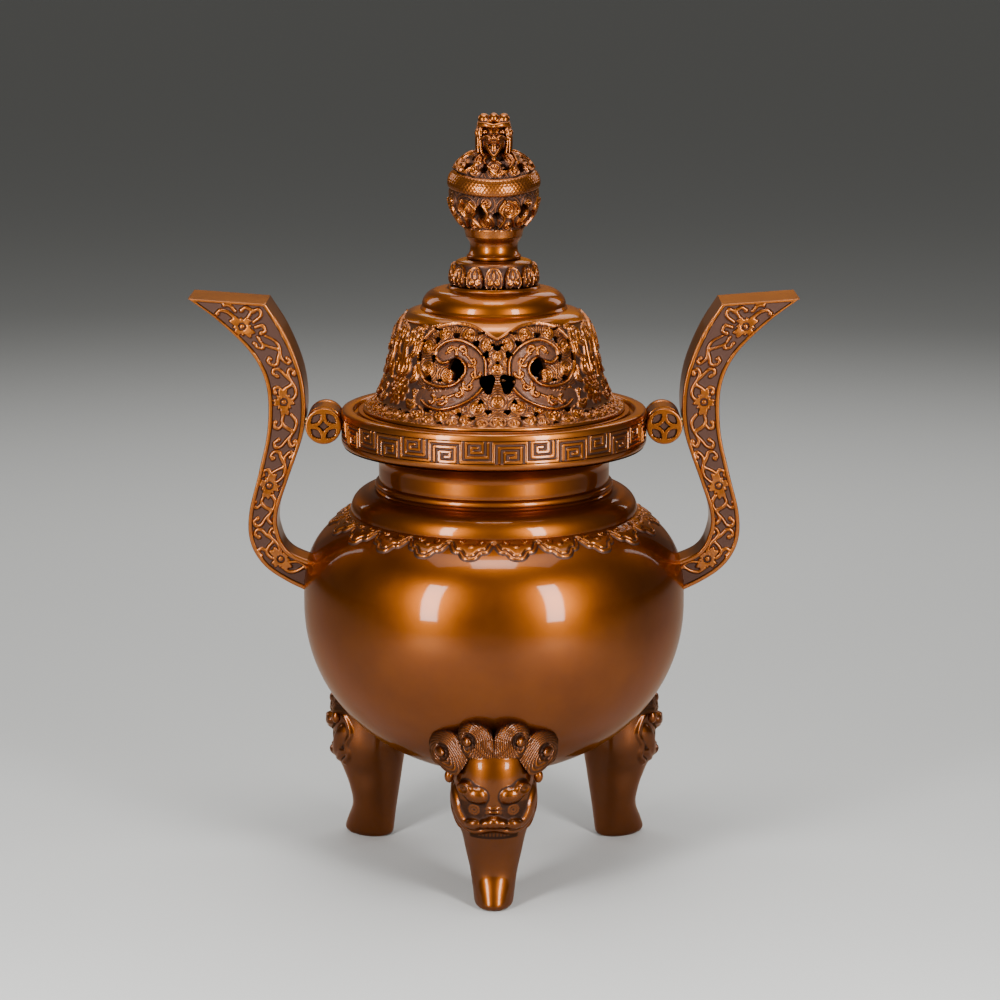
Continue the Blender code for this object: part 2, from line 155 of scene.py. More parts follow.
def finish_piece(item, body, look, nodes, sharp):
    """Dress a piece, tie it to its body, hide the CAD nodes that it replaces, and keep edges over sharp
    degrees.
    """
    item.data.materials.clear()
    item.data.materials.append(look)
    item.data.shade_smooth()
    item.data.set_sharp_from_angle(angle=math.radians(sharp))
    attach(item, body)
    if nodes:
        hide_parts(*nodes)


def length_along(path):
    """How far along a polyline each of its points lies."""
    return np.concatenate([[0.0], np.cumsum(np.hypot(*np.diff(path, axis=0).T))])


def resample(path, step):
    """Points at even steps along an open polyline."""
    path = np.asarray(path, float)
    along = length_along(path)
    where = np.linspace(0.0, along[-1], max(2, int(round(along[-1] / step)) + 1))
    return np.stack([np.interp(where, along, path[:, k]) for k in (0, 1)], -1)


def rounded(corners, closed=True):
    """An outline in mm from (x, y, fillet) corners, each with its corner cut to a round."""
    made = []
    count = len(corners)
    for index, (x, y, fillet) in enumerate(corners):
        here = np.array([x, y], float)
        if fillet <= 0.0 or (not closed and index in (0, count - 1)):
            made.append(here)
            continue
        before = np.array(corners[index - 1][:2], float) - here
        after = np.array(corners[(index + 1) % count][:2], float) - here
        start = here + before / np.hypot(*before) * fillet
        end = here + after / np.hypot(*after) * fillet
        for step in range(ROUND_STEPS + 1):
            share = step / ROUND_STEPS
            made.append((1 - share) ** 2 * start + 2 * share * (1 - share) * here + share ** 2 * end)
    return np.array(made)


def smooth_path(points, per_span=8):
    """A Catmull-Rom curve through open control points."""
    control = np.asarray(points, float)
    control = np.vstack([2 * control[0] - control[1], control, 2 * control[-1] - control[-2]])
    made = []
    for index in range(1, len(control) - 2):
        a, b, c, d = control[index - 1:index + 3]
        for step in range(per_span):
            t = step / per_span
            made.append(0.5 * (2 * b + (c - a) * t + (2 * a - 5 * b + 4 * c - d) * t * t
                               + (3 * b - a - 3 * c + d) * t ** 3))
    made.append(control[-2])
    return np.array(made)


def profile_normals(profile, closed):
    """Unit normals of a profile, to the right of its run."""
    if closed:
        tangent = np.roll(profile, -1, axis=0) - np.roll(profile, 1, axis=0)
    else:
        tangent = np.gradient(profile, axis=0)
    tangent /= np.maximum(np.hypot(*tangent.T), 1e-9)[:, None]
    return np.stack([tangent[:, 1], -tangent[:, 0]], -1)


def angles(columns):
    """The angles of a full turn's columns."""
    return np.arange(columns) * TAU / columns


def turn_profile(profile, columns, height=0.0, closed=True):
    """Points of a (radius, height) profile turned about Z, moved out along its normals."""
    angle = angles(columns)
    normal = profile_normals(profile, closed)
    shape = (len(profile), columns)
    radius = np.broadcast_to(profile[:, :1] + normal[:, :1] * height, shape)
    up = np.broadcast_to(profile[:, 1:] + normal[:, 1:] * height, shape)
    return np.stack([radius * np.cos(angle), radius * np.sin(angle), up], -1)


def turned(name, profile, columns, closed=True):
    """A smooth piece turned about Z; a profile that isn't closed starts and ends on the axis."""
    points = turn_profile(profile, columns, closed=closed)
    item = grid_object(name, points, wrap_u=True, wrap_v=closed)
    weld(item)
    return item


# ---------------------------------------------------------------- relief brushes

def dome(distance, radius):
    """1 in the middle of a round ridge or boss, 0 at its edge."""
    return np.sqrt(np.clip(1.0 - (distance / radius) ** 2, 0.0, 1.0))


def swell(distance, radius):
    """Like dome, but it runs out gently at its edge."""
    share = np.clip(1.0 - (distance / radius) ** 2, 0.0, 1.0)
    return share * (1.5 - 0.5 * share)


def ramp(value, low, high):
    """0 below low, 1 above high, and an even curve between them."""
    share = np.clip((value - low) / (high - low), 0.0, 1.0)
    return share * share * (3.0 - 2.0 * share)


def softened(field, rounds):
    """The field with its finest steps smoothed away; its second axis closes on itself."""
    for _ in range(rounds):
        field = 0.25 * np.roll(field, 1, 1) + 0.5 * field + 0.25 * np.roll(field, -1, 1)
        padded = np.vstack([field[:1], field, field[-1:]])
        field = 0.25 * padded[:-2] + 0.5 * padded[1:-1] + 0.25 * padded[2:]
    return field


def path_distance(x, y, path, reach):
    """Distance from each grid point to a polyline, and how far along it the nearest point is."""
    path = np.asarray(path, float)
    best = np.full(x.shape, 1e6)
    along = np.zeros(x.shape)
    lengths = np.hypot(*np.diff(path, axis=0).T)
    total = max(lengths.sum(), 1e-9)
    done = 0.0
    for (x0, y0), (x1, y1), length in zip(path[:-1], path[1:], lengths):
        if length < 1e-9:
            continue
        near = ((x > min(x0, x1) - reach) & (x < max(x0, x1) + reach)
                & (y > min(y0, y1) - reach) & (y < max(y0, y1) + reach))
        px, py = x[near] - x0, y[near] - y0
        dx, dy = (x1 - x0) / length, (y1 - y0) / length
        reached = np.clip(px * dx + py * dy, 0.0, length)
        far = np.hypot(px - reached * dx, py - reached * dy)
        old = best[near]
        closer = far < old
        best[near] = np.where(closer, far, old)
        along[near] = np.where(closer, (done + reached) / total, along[near])
        done += length
    return best, along


def stroke(field, x, y, path, width, rise, taper=0.0):
    """Raise a round line of a half width along a path; taper thins it towards its far end."""
    distance, along = path_distance(x, y, path, width * 1.5)
    local = width * (1.0 - taper * along)
    np.maximum(field, rise * dome(distance, local), out=field)


CURL_POINTS = 26
CURL_HEART = 0.22              # a curl's inner radius as a share of its outer one


def curl_path(centre, radius, start, turns, hand):
    """A spiral from its outside in, starting at an angle in degrees."""
    share = np.linspace(0.0, 1.0, CURL_POINTS)
    angle = math.radians(start) + hand * TAU * turns * share
    reach = radius * (1.0 - (1.0 - CURL_HEART) * share)
    return np.stack([centre[0] + reach * np.cos(angle), centre[1] + reach * np.sin(angle)], -1)


def spiral_boss(field, x, y, radius, rise, hand, phase, pitch=1.9):
    """A cloud curl: a low dome with one spiral ridge; x and y are from its centre."""
    far = np.hypot(x, y)
    near = far < radius
    wave = np.cos(TAU * (far[near] / pitch - hand * np.arctan2(y[near], x[near]) / TAU) + phase)
    body = dome(far[near], radius)
    ridge = (0.5 + 0.5 * wave) * np.minimum(1.0, 2.2 * body)
    made = rise * 0.5 * (body + ridge)
    field[near] = np.maximum(field[near], made)


# ---------------------------------------------------------------- finishes

WAX = 0.36                     # weight of the clear wax coat


def feed(look, node, inputs):
    """Set a node's inputs, each to a value or to the output that feeds it."""
    for key, value in inputs.items():
        if isinstance(value, bpy.types.NodeSocket):
            look.node_tree.links.new(value, node.inputs[key])
        else:
            node.inputs[key].default_value = value


def add_node(look, kind, output, inputs, **settings):
    """The output of a new shader node."""
    node = look.node_tree.nodes.new("ShaderNode" + kind)
    for key, value in settings.items():
        setattr(node, key, value)
    feed(look, node, inputs)
    return node.outputs[output]


def bronze(name, light, dark, patina, rough, carved=True, edge=(0.85, 0.55, 0.30)):
    """Bronze: clouded colour, patina kept in recesses, a tint on its reflection at grazing angles and a
    thin wax coat.
    """
    look = bpy.data.materials.new(name)
    look.use_nodes = True
    place = add_node(look, "TexCoord", "Object", {})
    cloud = add_node(look, "TexNoise", "Fac", {"Vector": place, "Scale": 14.0, "Detail": 5.0,
                                               "Roughness": 0.6})
    grain = add_node(look, "TexNoise", "Fac", {"Vector": place, "Scale": 900.0, "Detail": 3.0})
    spread = add_node(look, "MapRange", "Result", {"Value": cloud, "From Min": 0.3, "From Max": 0.7})
    colour = add_node(look, "Mix", "Result", {"Factor": spread, "A": (*dark, 1.0),
                                              "B": (*light, 1.0)}, data_type="RGBA")
    roughness = add_node(look, "MapRange", "Result", {"Value": cloud, "To Min": rough[0],
                                                      "To Max": rough[1]})
    coat = WAX
    if carved:
        tone = add_node(look, "Attribute", "Fac", {}, attribute_name="tone")
        speckle = add_node(look, "Math", "Value", {0: grain, 1: 0.35, 2: -0.17},
                           operation="MULTIPLY_ADD")
        total = add_node(look, "Math", "Value", {0: tone, 1: speckle}, operation="ADD")
        mask = add_node(look, "MapRange", "Result", {"Value": total, "From Min": 0.12,
                                                     "From Max": 0.62})
        colour = add_node(look, "Mix", "Result", {"Factor": mask, "A": (*patina, 1.0), "B": colour},
                          data_type="RGBA")
        roughness = add_node(look, "Mix", "Result", {"Factor": mask, "A": 0.62, "B": roughness},
                             data_type="FLOAT")
        coat = add_node(look, "Math", "Value", {0: mask, 1: WAX}, operation="MULTIPLY")
    bump = add_node(look, "Bump", "Normal", {"Height": grain, "Strength": 0.10 if carved else 0.035,
                                             "Distance": 0.0002})
    feed(look, look.node_tree.nodes["Principled BSDF"],
         {"Base Color": colour, "Roughness": roughness, "Metallic": 1.0, "Normal": bump,
          "Specular Tint": (*edge, 1.0), "Coat Weight": coat, "Coat Roughness": 0.07})
    return look


PATINA = (0.060, 0.031, 0.023)
POLISHED = bronze("polished_bronze", (0.195, 0.050, 0.0034), (0.128, 0.030, 0.0021), PATINA,
                  (0.33, 0.43), carved=False)
CARVED = bronze("carved_bronze", (0.27, 0.078, 0.010), (0.18, 0.047, 0.006), PATINA, (0.28, 0.40))
# A darker copy of the carved bronze for the legs and the manes, which sit under the bowl's bulge: painted
# shade.
SHADED_CARVED = bronze("shaded_carved_bronze", (0.145, 0.038, 0.004), (0.092, 0.023, 0.0024),
                     (0.034, 0.017, 0.012), (0.32, 0.42))
BRASS = bronze("plain_brass", (0.66, 0.47, 0.20), (0.50, 0.34, 0.13), PATINA, (0.30, 0.42),
               carved=False, edge=(0.9, 0.8, 0.5))


# ---------------------------------------------------------------- bowl

BELLY = dict(radius=125.2, widest=176.0, rise=71.5, rise_power=3.0, drop=112.0, drop_power=2.08,
             bottom=67.0, shoulder=236.3)
BELLY_WALL = 5.0


def belly_radius(height, grow=0.0):
    """The bowl's outer radius at a height, from one power curve above the widest and one below."""
    height = np.asarray(height, float)
    upper = height > BELLY["widest"]
    reach = np.where(upper, BELLY["rise"], BELLY["drop"]) + grow
    power = np.where(upper, BELLY["rise_power"], BELLY["drop_power"])
    share = np.clip(np.abs(height - BELLY["widest"]) / reach, 0.0, 1.0)
    return (BELLY["radius"] + grow) * np.clip(1.0 - share ** power, 0.0, 1.0) ** (1.0 / power)


def belly_line(bottom, top, step):
    """The bowl's outer (radius, height) line from bottom to top, in even steps of length."""
    height = bottom + (top - bottom) * (0.5 - 0.5 * np.cos(np.linspace(0.0, math.pi, 400)))
    return resample(np.stack([belly_radius(height), height], -1), step)


def make_belly():
    """The plain round bowl."""
    outer = belly_line(BELLY["bottom"], BELLY["shoulder"], 2.2)
    heights = np.linspace(230.0, BELLY["bottom"] + BELLY_WALL, 70)
    inner = np.stack([belly_radius(heights, -BELLY_WALL), heights], -1)
    line = np.vstack([[[0.0, BELLY["bottom"]], [14.0, BELLY["bottom"]]], outer,
                      [[72.0, BELLY["shoulder"]], [70.5, 235.0]], inner,
                      [[14.0, BELLY["bottom"] + BELLY_WALL], [0.0, BELLY["bottom"] + BELLY_WALL]]])
    item = turned("bowl", line, 256, closed=False)
    finish_piece(item, "burner", POLISHED, ["belly"], 30.0)


SCALLOPS = 22
COLLAR_DEPTH = 21.0            # how far the collar reaches down the bowl, along its curve
# Half of one scallop's edge: mm from its middle, mm down the bowl from the tier
SCALLOP_EDGE = ((0.0, 18.6), (2.6, 18.3), (5.0, 16.9), (6.6, 14.6), (7.8, 13.3), (9.6, 13.2),
                (11.8, 12.2), (13.4, 10.0), (14.5, 7.6), (15.6, 5.6))


def make_cloud_collar():
    """Raised cloud scallops that hang from the tier over the bowl's shoulder."""
    columns = SCALLOPS * 60
    line = belly_line(200.0, 236.2, 0.42)[::-1]
    along = length_along(line)
    near = along < COLLAR_DEPTH
    line, along = line[near][::-1], along[near][::-1]
    half = SCALLOP_EDGE[-1][0]
    turn = angles(columns) + math.pi / 2
    local = np.abs((turn * SCALLOPS / TAU) % 1.0 * 2.0 - 1.0) * half
    x, y = np.meshgrid(local, along)
    edge = smooth_path(SCALLOP_EDGE, 6)
    distance, _ = path_distance(x, y, edge, 40.0)
    limit = np.interp(x, edge[:, 0], edge[:, 1])
    depth = np.where(y < limit, distance, -distance)
    height = np.where(depth > 0.0, 0.9 + 0.7 * ramp(depth, 0.0, 0.7), 0.7 + depth * 0.75)
    groove = dome(depth - 2.7, 0.6)
    plate = ramp(depth, 2.9, 4.2)
    height = height - 0.9 * groove + 0.3 * plate
    tone = ramp(depth, 0.0, 0.4) * (1.0 - groove)
    hooks = np.zeros(x.shape)
    stroke(hooks, x, y, curl_path((7.4, 4.0), 2.6, 200, 1.0, -1), 0.8, 1.0)
    stroke(hooks, x, y, smooth_path([(14.6, 3.4), (12.0, 5.6), (9.6, 6.0), (7.6, 6.4)]), 0.7, 1.0)
    near_top = 1.0 - ramp(y, 5.4, 7.2)
    height -= 0.6 * near_top * (1.0 - hooks)
    tone = tone * (1.0 - 0.45 * near_top * (1.0 - hooks))
    height += 0.4 * dome(np.hypot(x, y - 7.8), 1.9)
    tone = tone * (1.0 - 0.6 * dome(np.hypot(x, y - 7.8) - 2.2, 0.5))
    height = np.maximum(height, -1.2)
    points = turn_profile(line, columns, height, closed=False)
    under = turn_profile(line, columns, -2.2, closed=False)[[-1, 0]]
    points = np.concatenate([points, under])
    tone = np.concatenate([np.clip(tone, 0.0, 1.0), np.zeros((2, columns))])
    item = grid_object("cloud_collar", points, tone, wrap_u=True, wrap_v=True)
    finish_piece(item, "burner", CARVED, (), 50.0)


def make_neck():
    """The rounded tier on the bowl, the beaded throat and the flare under the rim."""
    angle = np.linspace(0.0, math.pi / 2, 14)
    tier = np.stack([79.4 + 14.5 * np.sin(angle), 238.4 + 13.6 * np.cos(angle)], -1)[::-1]
    flare = np.stack([75.3 + 22.7 * (1.0 - np.cos(angle)), 268.0 + 13.0 * np.sin(angle)], -1)
    bead_angle = np.linspace(-1.35, 1.35, 9)
    bead = np.stack([75.9 + 1.9 * np.cos(bead_angle), 255.3 + 2.5 * np.sin(bead_angle)], -1)
    outer = np.vstack([[[93.2, 236.7], [93.8, 237.2]], tier, [[78.4, 252.1], [77.2, 251.9]], bead,
                       [[75.2, 258.3], [75.2, 259.0]], resample([(75.3, 259.4), (75.3, 267.6)], 2.0),
                       flare])
    inner = [[97.6, 281.0], [84.0, 281.0], [77.0, 274.0], [71.5, 267.0], [70.3, 262.0],
             [70.3, 245.0], [70.3, 236.9], [73.0, 236.7]]
    item = turned("throat_and_tier", np.vstack([outer, inner]), 256)
    finish_piece(item, "burner", POLISHED, ["neck"], 30.0)


FRET_UNITS = 30
FRET_LOW, FRET_HIGH = 286.4, 300.4
RIM_RADIUS = 99.5


def fret_paths():
    """One key of the meander in grid steps, for an upright unit; rows run 0 to 4."""
    wave = [(0, 0), (0, 4), (6, 4), (6, 0)]
    coil = [(1, 0), (1, 3), (5, 3), (5, 0), (2, 0), (2, 2), (4, 2), (4, 1), (3, 1)]
    return wave, coil


def make_rim():
    """The rim ring, with a key-fret meander in ribbon relief round its outer band."""
    columns = FRET_UNITS * 50
    band = np.linspace(FRET_LOW - 0.6, FRET_HIGH + 0.6, 40)
    below = [[97.2, 281.5], [98.3, 282.0], [99.1, 283.0], [RIM_RADIUS, 284.4], [RIM_RADIUS, 285.4]]
    above = [[RIM_RADIUS, 301.6], [RIM_RADIUS, 302.8], [99.2, 303.9], [98.6, 304.6], [97.8, 305.0]]
    outer = np.vstack([below, np.stack([np.full(band.size, RIM_RADIUS), band], -1), above])
    inner = np.array([[93.0, 305.0], [92.0, 304.8], [91.5, 304.2], [91.5, 301.3], [91.2, 301.0],
                      [84.6, 301.0], [84.0, 300.4], [84.0, 281.7], [86.0, 281.4]])
    line = np.vstack([outer, inner])
    step_x = TAU * RIM_RADIUS / FRET_UNITS / 6.0
    step_y = (FRET_HIGH - FRET_LOW - 1.7) / 4.0
    unit = (angles(columns) + math.pi / 2) * FRET_UNITS / TAU
    local = unit % 1.0 * 6.0 * step_x
    x, y = np.meshgrid(local, line[:, 1] - FRET_LOW - 0.85)
    flipped = (np.floor(unit) % 2 == 1)[None, :]
    width = 6.0 * step_x
    x = np.where(flipped, width - x, x)
    y = np.where(flipped, 4.0 * step_y - y, y)
    nearest = np.full(x.shape, 1e6)
    for path in fret_paths():
        scaled = [(a * step_x, b * step_y) for a, b in path]
        distance, _ = path_distance(x, y, scaled, 3.5)
        nearest = np.minimum(nearest, distance)
    fretted = np.zeros(len(line), bool)
    fretted[len(below):len(below) + band.size] = True
    raised = 1.0 - ramp(nearest, 0.72, 1.12)
    margin = ramp(line[:, 1], FRET_LOW - 0.6, FRET_LOW - 0.1) * (
        1.0 - ramp(line[:, 1], FRET_HIGH + 0.1, FRET_HIGH + 0.6))
    depth = np.where(fretted[:, None], margin[:, None] * (1.0 - raised) * 0.95, 0.0)
    points = turn_profile(line, columns, -depth)
    item = grid_object("rim_with_fret", points, np.clip(1.0 - depth / 0.8, 0.0, 1.0),
                       wrap_u=True, wrap_v=True)
    finish_piece(item, "burner", CARVED, ["mouth_rim"], 50.0)


# ---------------------------------------------------------------- lid

LID_TURN = math.radians(-88.0)
LID_REPEATS = 3
DOME_RADIUS = 69.0             # degrees round the dome are measured in mm at this radius
DOME_WALL = 3.2
DOME_CONTROL = ((84.4, 304.8), (84.0, 305.9), (81.0, 307.6), (76.6, 311.9), (72.6, 320.4),
                (70.2, 328.6), (68.4, 337.0), (66.6, 345.0), (65.0, 351.6), (62.8, 358.0),
                (60.0, 363.2), (55.4, 367.2), (49.6, 369.0), (44.0, 369.3), (38.0, 369.3))

# Cloud curls of one half repeat: degrees from the pair's middle, mm up the dome, radius, hand
CURLS = ((41.6, 52.9, 4.6, 1), (32.0, 63.2, 4.4, -1), (16.8, 62.8, 4.4, 1), (5.8, 56.8, 4.0, -1),
         (39.6, 39.4, 4.6, -1), (26.6, 36.4, 4.6, 1), (0.0, 41.6, 3.4, 1), (0.0, 49.6, 3.2, -1),
         (5.6, 45.6, 2.8, 1), (27.2, 10.4, 4.6, 1), (21.0, 15.4, 3.4, -1), (14.8, 8.0, 4.0, 1),
         (41.0, 9.6, 4.4, -1), (10.0, 17.0, 4.2, 1), (0.0, 6.4, 4.4, 1), (7.4, 5.4, 3.4, -1),
         (34.0, 6.0, 3.8, 1), (48.0, 6.2, 3.8, -1), (54.4, 6.4, 4.0, 1), (60.0, 4.8, 3.4, -1),
         (0.0, 21.0, 3.8, -1), (15.4, 22.0, 2.8, -1), (21.2, 5.4, 3.0, 1), (36.4, 52.8, 2.6, -1))
# Holes: degrees, mm up, half width along the rim, half height
HOLES = ((24.2, 62.2, 2.7, 1.7), (35.6, 58.2, 2.0, 2.3), (36.4, 46.6, 2.1, 2.6), (46.2, 46.4, 1.0, 3.2),
         (12.0, 57.6, 2.6, 2.0), (6.2, 50.6, 2.2, 2.2), (0.0, 54.6, 2.2, 2.2), (38.2, 33.6, 2.7, 1.8),
         (5.2, 32.4, 4.8, 6.2), (36.0, 13.4, 2.6, 1.7), (12.0, 9.8, 2.2, 1.3), (4.6, 14.2, 2.0, 1.8),
         (18.4, 12.0, 1.5, 1.6), (47.0, 9.6, 2.1, 1.2), (36.6, 65.0, 3.4, 0.8), (22.0, 68.6, 3.6, 0.7),
         (9.6, 64.0, 2.8, 0.8), (31.5, 33.0, 2.0, 1.0), (8.4, 20.6, 1.6, 1.7), (2.2, 56.6, 1.4, 1.0),
         (0.0, 45.2, 1.3, 1.0), (27.0, 4.6, 1.7, 0.9), (53.0, 10.8, 1.5, 1.0), (44.6, 55.0, 0.8, 2.4))
BAND = ((29.4, 50.6), (26.0, 53.0), (22.0, 53.4), (17.6, 51.6), (13.8, 48.0), (11.7, 42.4),
        (12.2, 35.0), (15.6, 28.6), (21.4, 24.2), (28.4, 21.2), (35.2, 19.8), (40.6, 21.0))
BAND_HALF = 5.9
FRAME_LINE = ((0.0, 60.0), (7.4, 64.6), (15.5, 69.2), (26.0, 71.0), (36.0, 67.6), (43.4, 60.4),
              (47.2, 50.0), (45.8, 40.0), (40.6, 32.0), (33.4, 29.4), (26.0, 29.8), (21.2, 32.4),
              (17.4, 38.2), (17.6, 44.0), (21.6, 47.6), (26.6, 45.4), (31.0, 44.2), (34.8, 47.0),
              (35.2, 51.6), (31.2, 56.4), (25.6, 59.0), (19.0, 58.4), (12.0, 54.6), (7.2, 48.4),
              (6.2, 41.4), (6.9, 32.6), (10.2, 26.0), (15.6, 20.4), (22.6, 16.4), (29.4, 14.4),
              (36.0, 15.8), (40.4, 19.0))
INNER_CURLS = ((26.4, 51.4, 3.6, 200, 0.8, -1), (19.0, 51.6, 3.0, 60, 0.7, 1),
               (13.6, 46.4, 3.2, 330, 0.8, -1), (12.2, 38.6, 2.9, 180, 0.8, 1),
               (14.6, 31.0, 3.2, 20, 0.8, -1), (20.6, 25.6, 3.0, 120, 0.8, 1),
               (28.4, 21.6, 3.2, 300, 0.8, -1), (35.0, 19.6, 2.8, 100, 0.8, 1))
INNER_STEM = ((29.0, 50.4), (22.6, 54.0), (16.0, 49.0), (12.0, 42.0), (12.6, 35.0), (17.6, 28.0),
              (24.4, 23.4), (32.0, 20.4))
LEAVES = (((57.0, 33.0), (54.6, 38.0), (55.4, 43.0), (52.4, 47.0)),
          ((60.0, 34.0), (60.0, 42.0), (60.0, 50.0), (60.0, 57.0)),
          ((53.4, 46.0), (50.4, 50.0), (50.8, 55.0), (47.4, 58.0)),
          ((58.6, 52.0), (55.6, 56.0), (56.4, 61.0), (53.4, 64.0)),
          ((51.6, 56.0), (49.6, 60.0), (50.2, 63.0), (47.4, 66.0)),
          ((50.4, 30.0), (47.6, 34.0), (48.0, 38.0), (46.0, 42.0)),
          ((47.0, 24.6), (44.4, 22.0), (42.4, 23.4), (40.6, 26.6)),
          ((50.0, 17.6), (46.6, 15.4), (43.0, 17.6), (40.0, 15.4)))


def sector_angle(angle):
    """Degrees from the middle of the nearest repeat, mirrored to be positive."""
    width = TAU / LID_REPEATS
    return np.degrees(np.abs((angle - LID_TURN + width / 2.0) % width - width / 2.0))


def round_dome(degrees):
    """Degrees from the middle of a repeat as mm round the dome."""
    return np.radians(degrees) * DOME_RADIUS


def on_dome(points):
    """Smoothed path in mm over the dome from (degrees, mm up) points."""
    return smooth_path([(round_dome(degrees), up) for degrees, up in points], 6)


def cloud_ground(x, y):
    """Height of the cloud curls and of the combed lines that run round them."""
    nearest = np.full(x.shape, 99.0)
    for degrees, level, size, _ in CURLS:
        gap = np.hypot(x - round_dome(degrees), y - level)
        nearest = np.minimum(nearest, gap - size)
    height = 0.15 + 0.75 * (0.5 + 0.5 * np.cos(TAU * nearest / 1.55))
    for number, (degrees, level, size, hand) in enumerate(CURLS):
        spiral_boss(height, x - round_dome(degrees), y - level, size, 1.7, hand, number * 0.7)
    return height


def scroll_filling(x, y):
    """Height of the small hooks along the inside of the C-shaped band."""
    motif = np.zeros(x.shape)
    for degrees, level, size, start, turns, hand in INNER_CURLS:
        centre = (round_dome(degrees), level)
        stroke(motif, x, y, curl_path(centre, 1.3 * size, start, 0.8 * turns, hand), 1.3, 1.0, 0.4)
    stroke(motif, x, y, on_dome(INNER_STEM), 0.8, 0.8)
    return 0.30 + 1.5 * motif


def flower_panel(x, y):
    """Height of the leaves and the many-petalled flower between two pairs of scrolls."""
    leaf = np.zeros(x.shape)
    for path in LEAVES:
        curve = on_dome(path)
        far, along = path_distance(x, y, curve, 5.0)
        width = 3.2 * np.sin(math.pi * np.clip(0.12 + 0.83 * along, 0.0, 1.0)) + 0.3
        vein = 1.0 - 0.5 * dome(far, 0.55)
        np.maximum(leaf, 1.7 * dome(far, width) * vein, out=leaf)
        stroke(leaf, x, y, curl_path(tuple(curve[-1]), 1.7, 200, 1.1, 1), 0.7, 1.5)
    across, up = x - round_dome(60.0), y - 24.0
    far = np.hypot(across, up)
    turn = np.arctan2(up, across)
    for petals, reach, rise, phase in ((10, 11.5, 1.2, 0.0), (8, 8.0, 1.8, 0.5), (6, 4.6, 2.2, 0.2)):
        lobes = np.abs(np.cos(0.5 * petals * turn + phase * math.pi))
        edge = reach * (0.72 + 0.28 * lobes ** 0.6)
        petal = rise * dome(far, edge) ** 0.5 * (0.45 + 0.55 * lobes ** 0.5)
        leaf = np.where(far < edge, np.maximum(leaf * 0.3, petal), leaf)
    return np.where(far < 2.0, 2.4 * dome(far, 2.4), leaf)


def dome_holes(x, y):
    """Distance outwards from the nearest hole's edge; the largest is a drop with a bite out."""
    hole = np.full(x.shape, 9.0)
    for degrees, level, across, tall in HOLES:
        u = (x - round_dome(degrees)) / across
        v = (y - level) / tall
        wobble = 1.0 + 0.16 * np.cos(3.0 * np.arctan2(v, u) + degrees)
        hole = np.minimum(hole, (np.hypot(u, v) - wobble) * min(across, tall))
    drop = np.hypot(x - round_dome(22.4), (y - 40.6) / 1.3) - 5.5
    bite = np.hypot(x - round_dome(27.0), y - 36.4) - 4.3
    return np.minimum(hole, np.maximum(drop, -bite))


def dome_fields(degrees, y):
    """Height, tone and hole distance of the openwork dome, y being mm up its outside."""
    x = round_dome(degrees)
    frame_far, _ = path_distance(x, y, on_dome(FRAME_LINE), 3.0)
    band_far, _ = path_distance(x, y, on_dome(BAND), 9.0)
    band = 1.0 - ramp(band_far, BAND_HALF - 0.5, BAND_HALF)
    upper = on_dome(FRAME_LINE[:9])
    top = round_dome(FRAME_LINE[3][0])
    roof = np.where(x < top, np.interp(x, upper[:, 0], upper[:, 1]), 71.0)
    roof = np.where(x > top, 66.0 + 5.0 * np.exp(-((x - top) / 16.0) ** 2), roof)
    plain = ramp(y - roof, -0.2, 0.6)
    base_plain = 1.0 - ramp(y, 1.4, 2.2)
    height = cloud_ground(x, y) * (1.0 - band) + scroll_filling(x, y) * band
    leaf_zone = ramp(degrees, 44.0, 47.0) * (1.0 - ramp(y, 66.0, 69.0)) * ramp(y, 10.0, 13.0)
    leaf_zone = np.maximum(leaf_zone, ramp(degrees, 38.0, 42.0) * ramp(y, 11.0, 13.0)
                           * (1.0 - ramp(y, 27.0, 30.0)))
    leaf_zone = leaf_zone * (1.0 - band)
    height = height * (1.0 - leaf_zone) + flower_panel(x, y) * leaf_zone
    moat = ramp(frame_far, 0.8, 1.0) * (1.0 - ramp(frame_far, 1.5, 1.9))
    height = height * (1.0 - 0.9 * moat)
    np.maximum(height, 2.0 * dome(frame_far, 1.0), out=height)
    height = height * (1.0 - plain) + 1.15 * plain
    height = height * (1.0 - base_plain) + 0.9 * base_plain
    tone = np.maximum(ramp(height, -0.2, 1.6), np.maximum(plain, base_plain))
    return height, tone, dome_holes(x, y)


def make_dome():
    """The lid's openwork dome, as a wall of even thickness with real holes."""
    columns = 960
    line = resample(smooth_path(DOME_CONTROL, 12), 0.5)
    degrees, up = np.meshgrid(sector_angle(angles(columns)), length_along(line))
    height, tone, hole = dome_fields(degrees, up)
    outside = turn_profile(line, columns, height, closed=False)
    inside = turn_profile(line, columns, -DOME_WALL, closed=False)
    item = slab("openwork_dome", outside, inside, tone, hole, wrap_u=True)
    finish_piece(item, "lid", CARVED, ["lid_dome"], 60.0)


def make_lid_flange():
    """The ring that the lid sits on and is centred by."""
    line = rounded([(88.5, 301.4, 0.5), (88.5, 304.4, 0.7), (79.6, 304.4, 0.3), (79.0, 292.4, 0.3),
                    (82.4, 292.4, 0.6), (83.0, 301.4, 0.2)])
    item = turned("lid_seat_ring", line, 256)
    finish_piece(item, "lid", POLISHED, ["lid_flange"], 30.0)


def make_crown():
    """The cushion-shaped cap on top of the dome."""
    angle = np.linspace(0.0, math.pi / 2, 16)
    cushion = np.stack([34.5 + 12.1 * np.cos(angle), 372.6 + 10.6 * np.sin(angle)], -1)
    outer = np.vstack([[[47.0, 369.8], [47.5, 370.1], [47.6, 370.8], [47.2, 371.6], [46.7, 372.2]],
                       cushion, [[32.4, 383.3], [30.6, 383.6], [29.9, 384.2], [29.7, 385.0],
                                 [29.3, 385.5]]])
    inner = [[9.6, 385.5], [9.6, 378.0], [20.0, 378.0], [32.0, 376.0], [36.0, 369.9]]
    item = turned("crown", np.vstack([outer, inner]), 192)
    finish_piece(item, "lid", POLISHED, ["lid_crown"], 30.0)


PETALS = 14


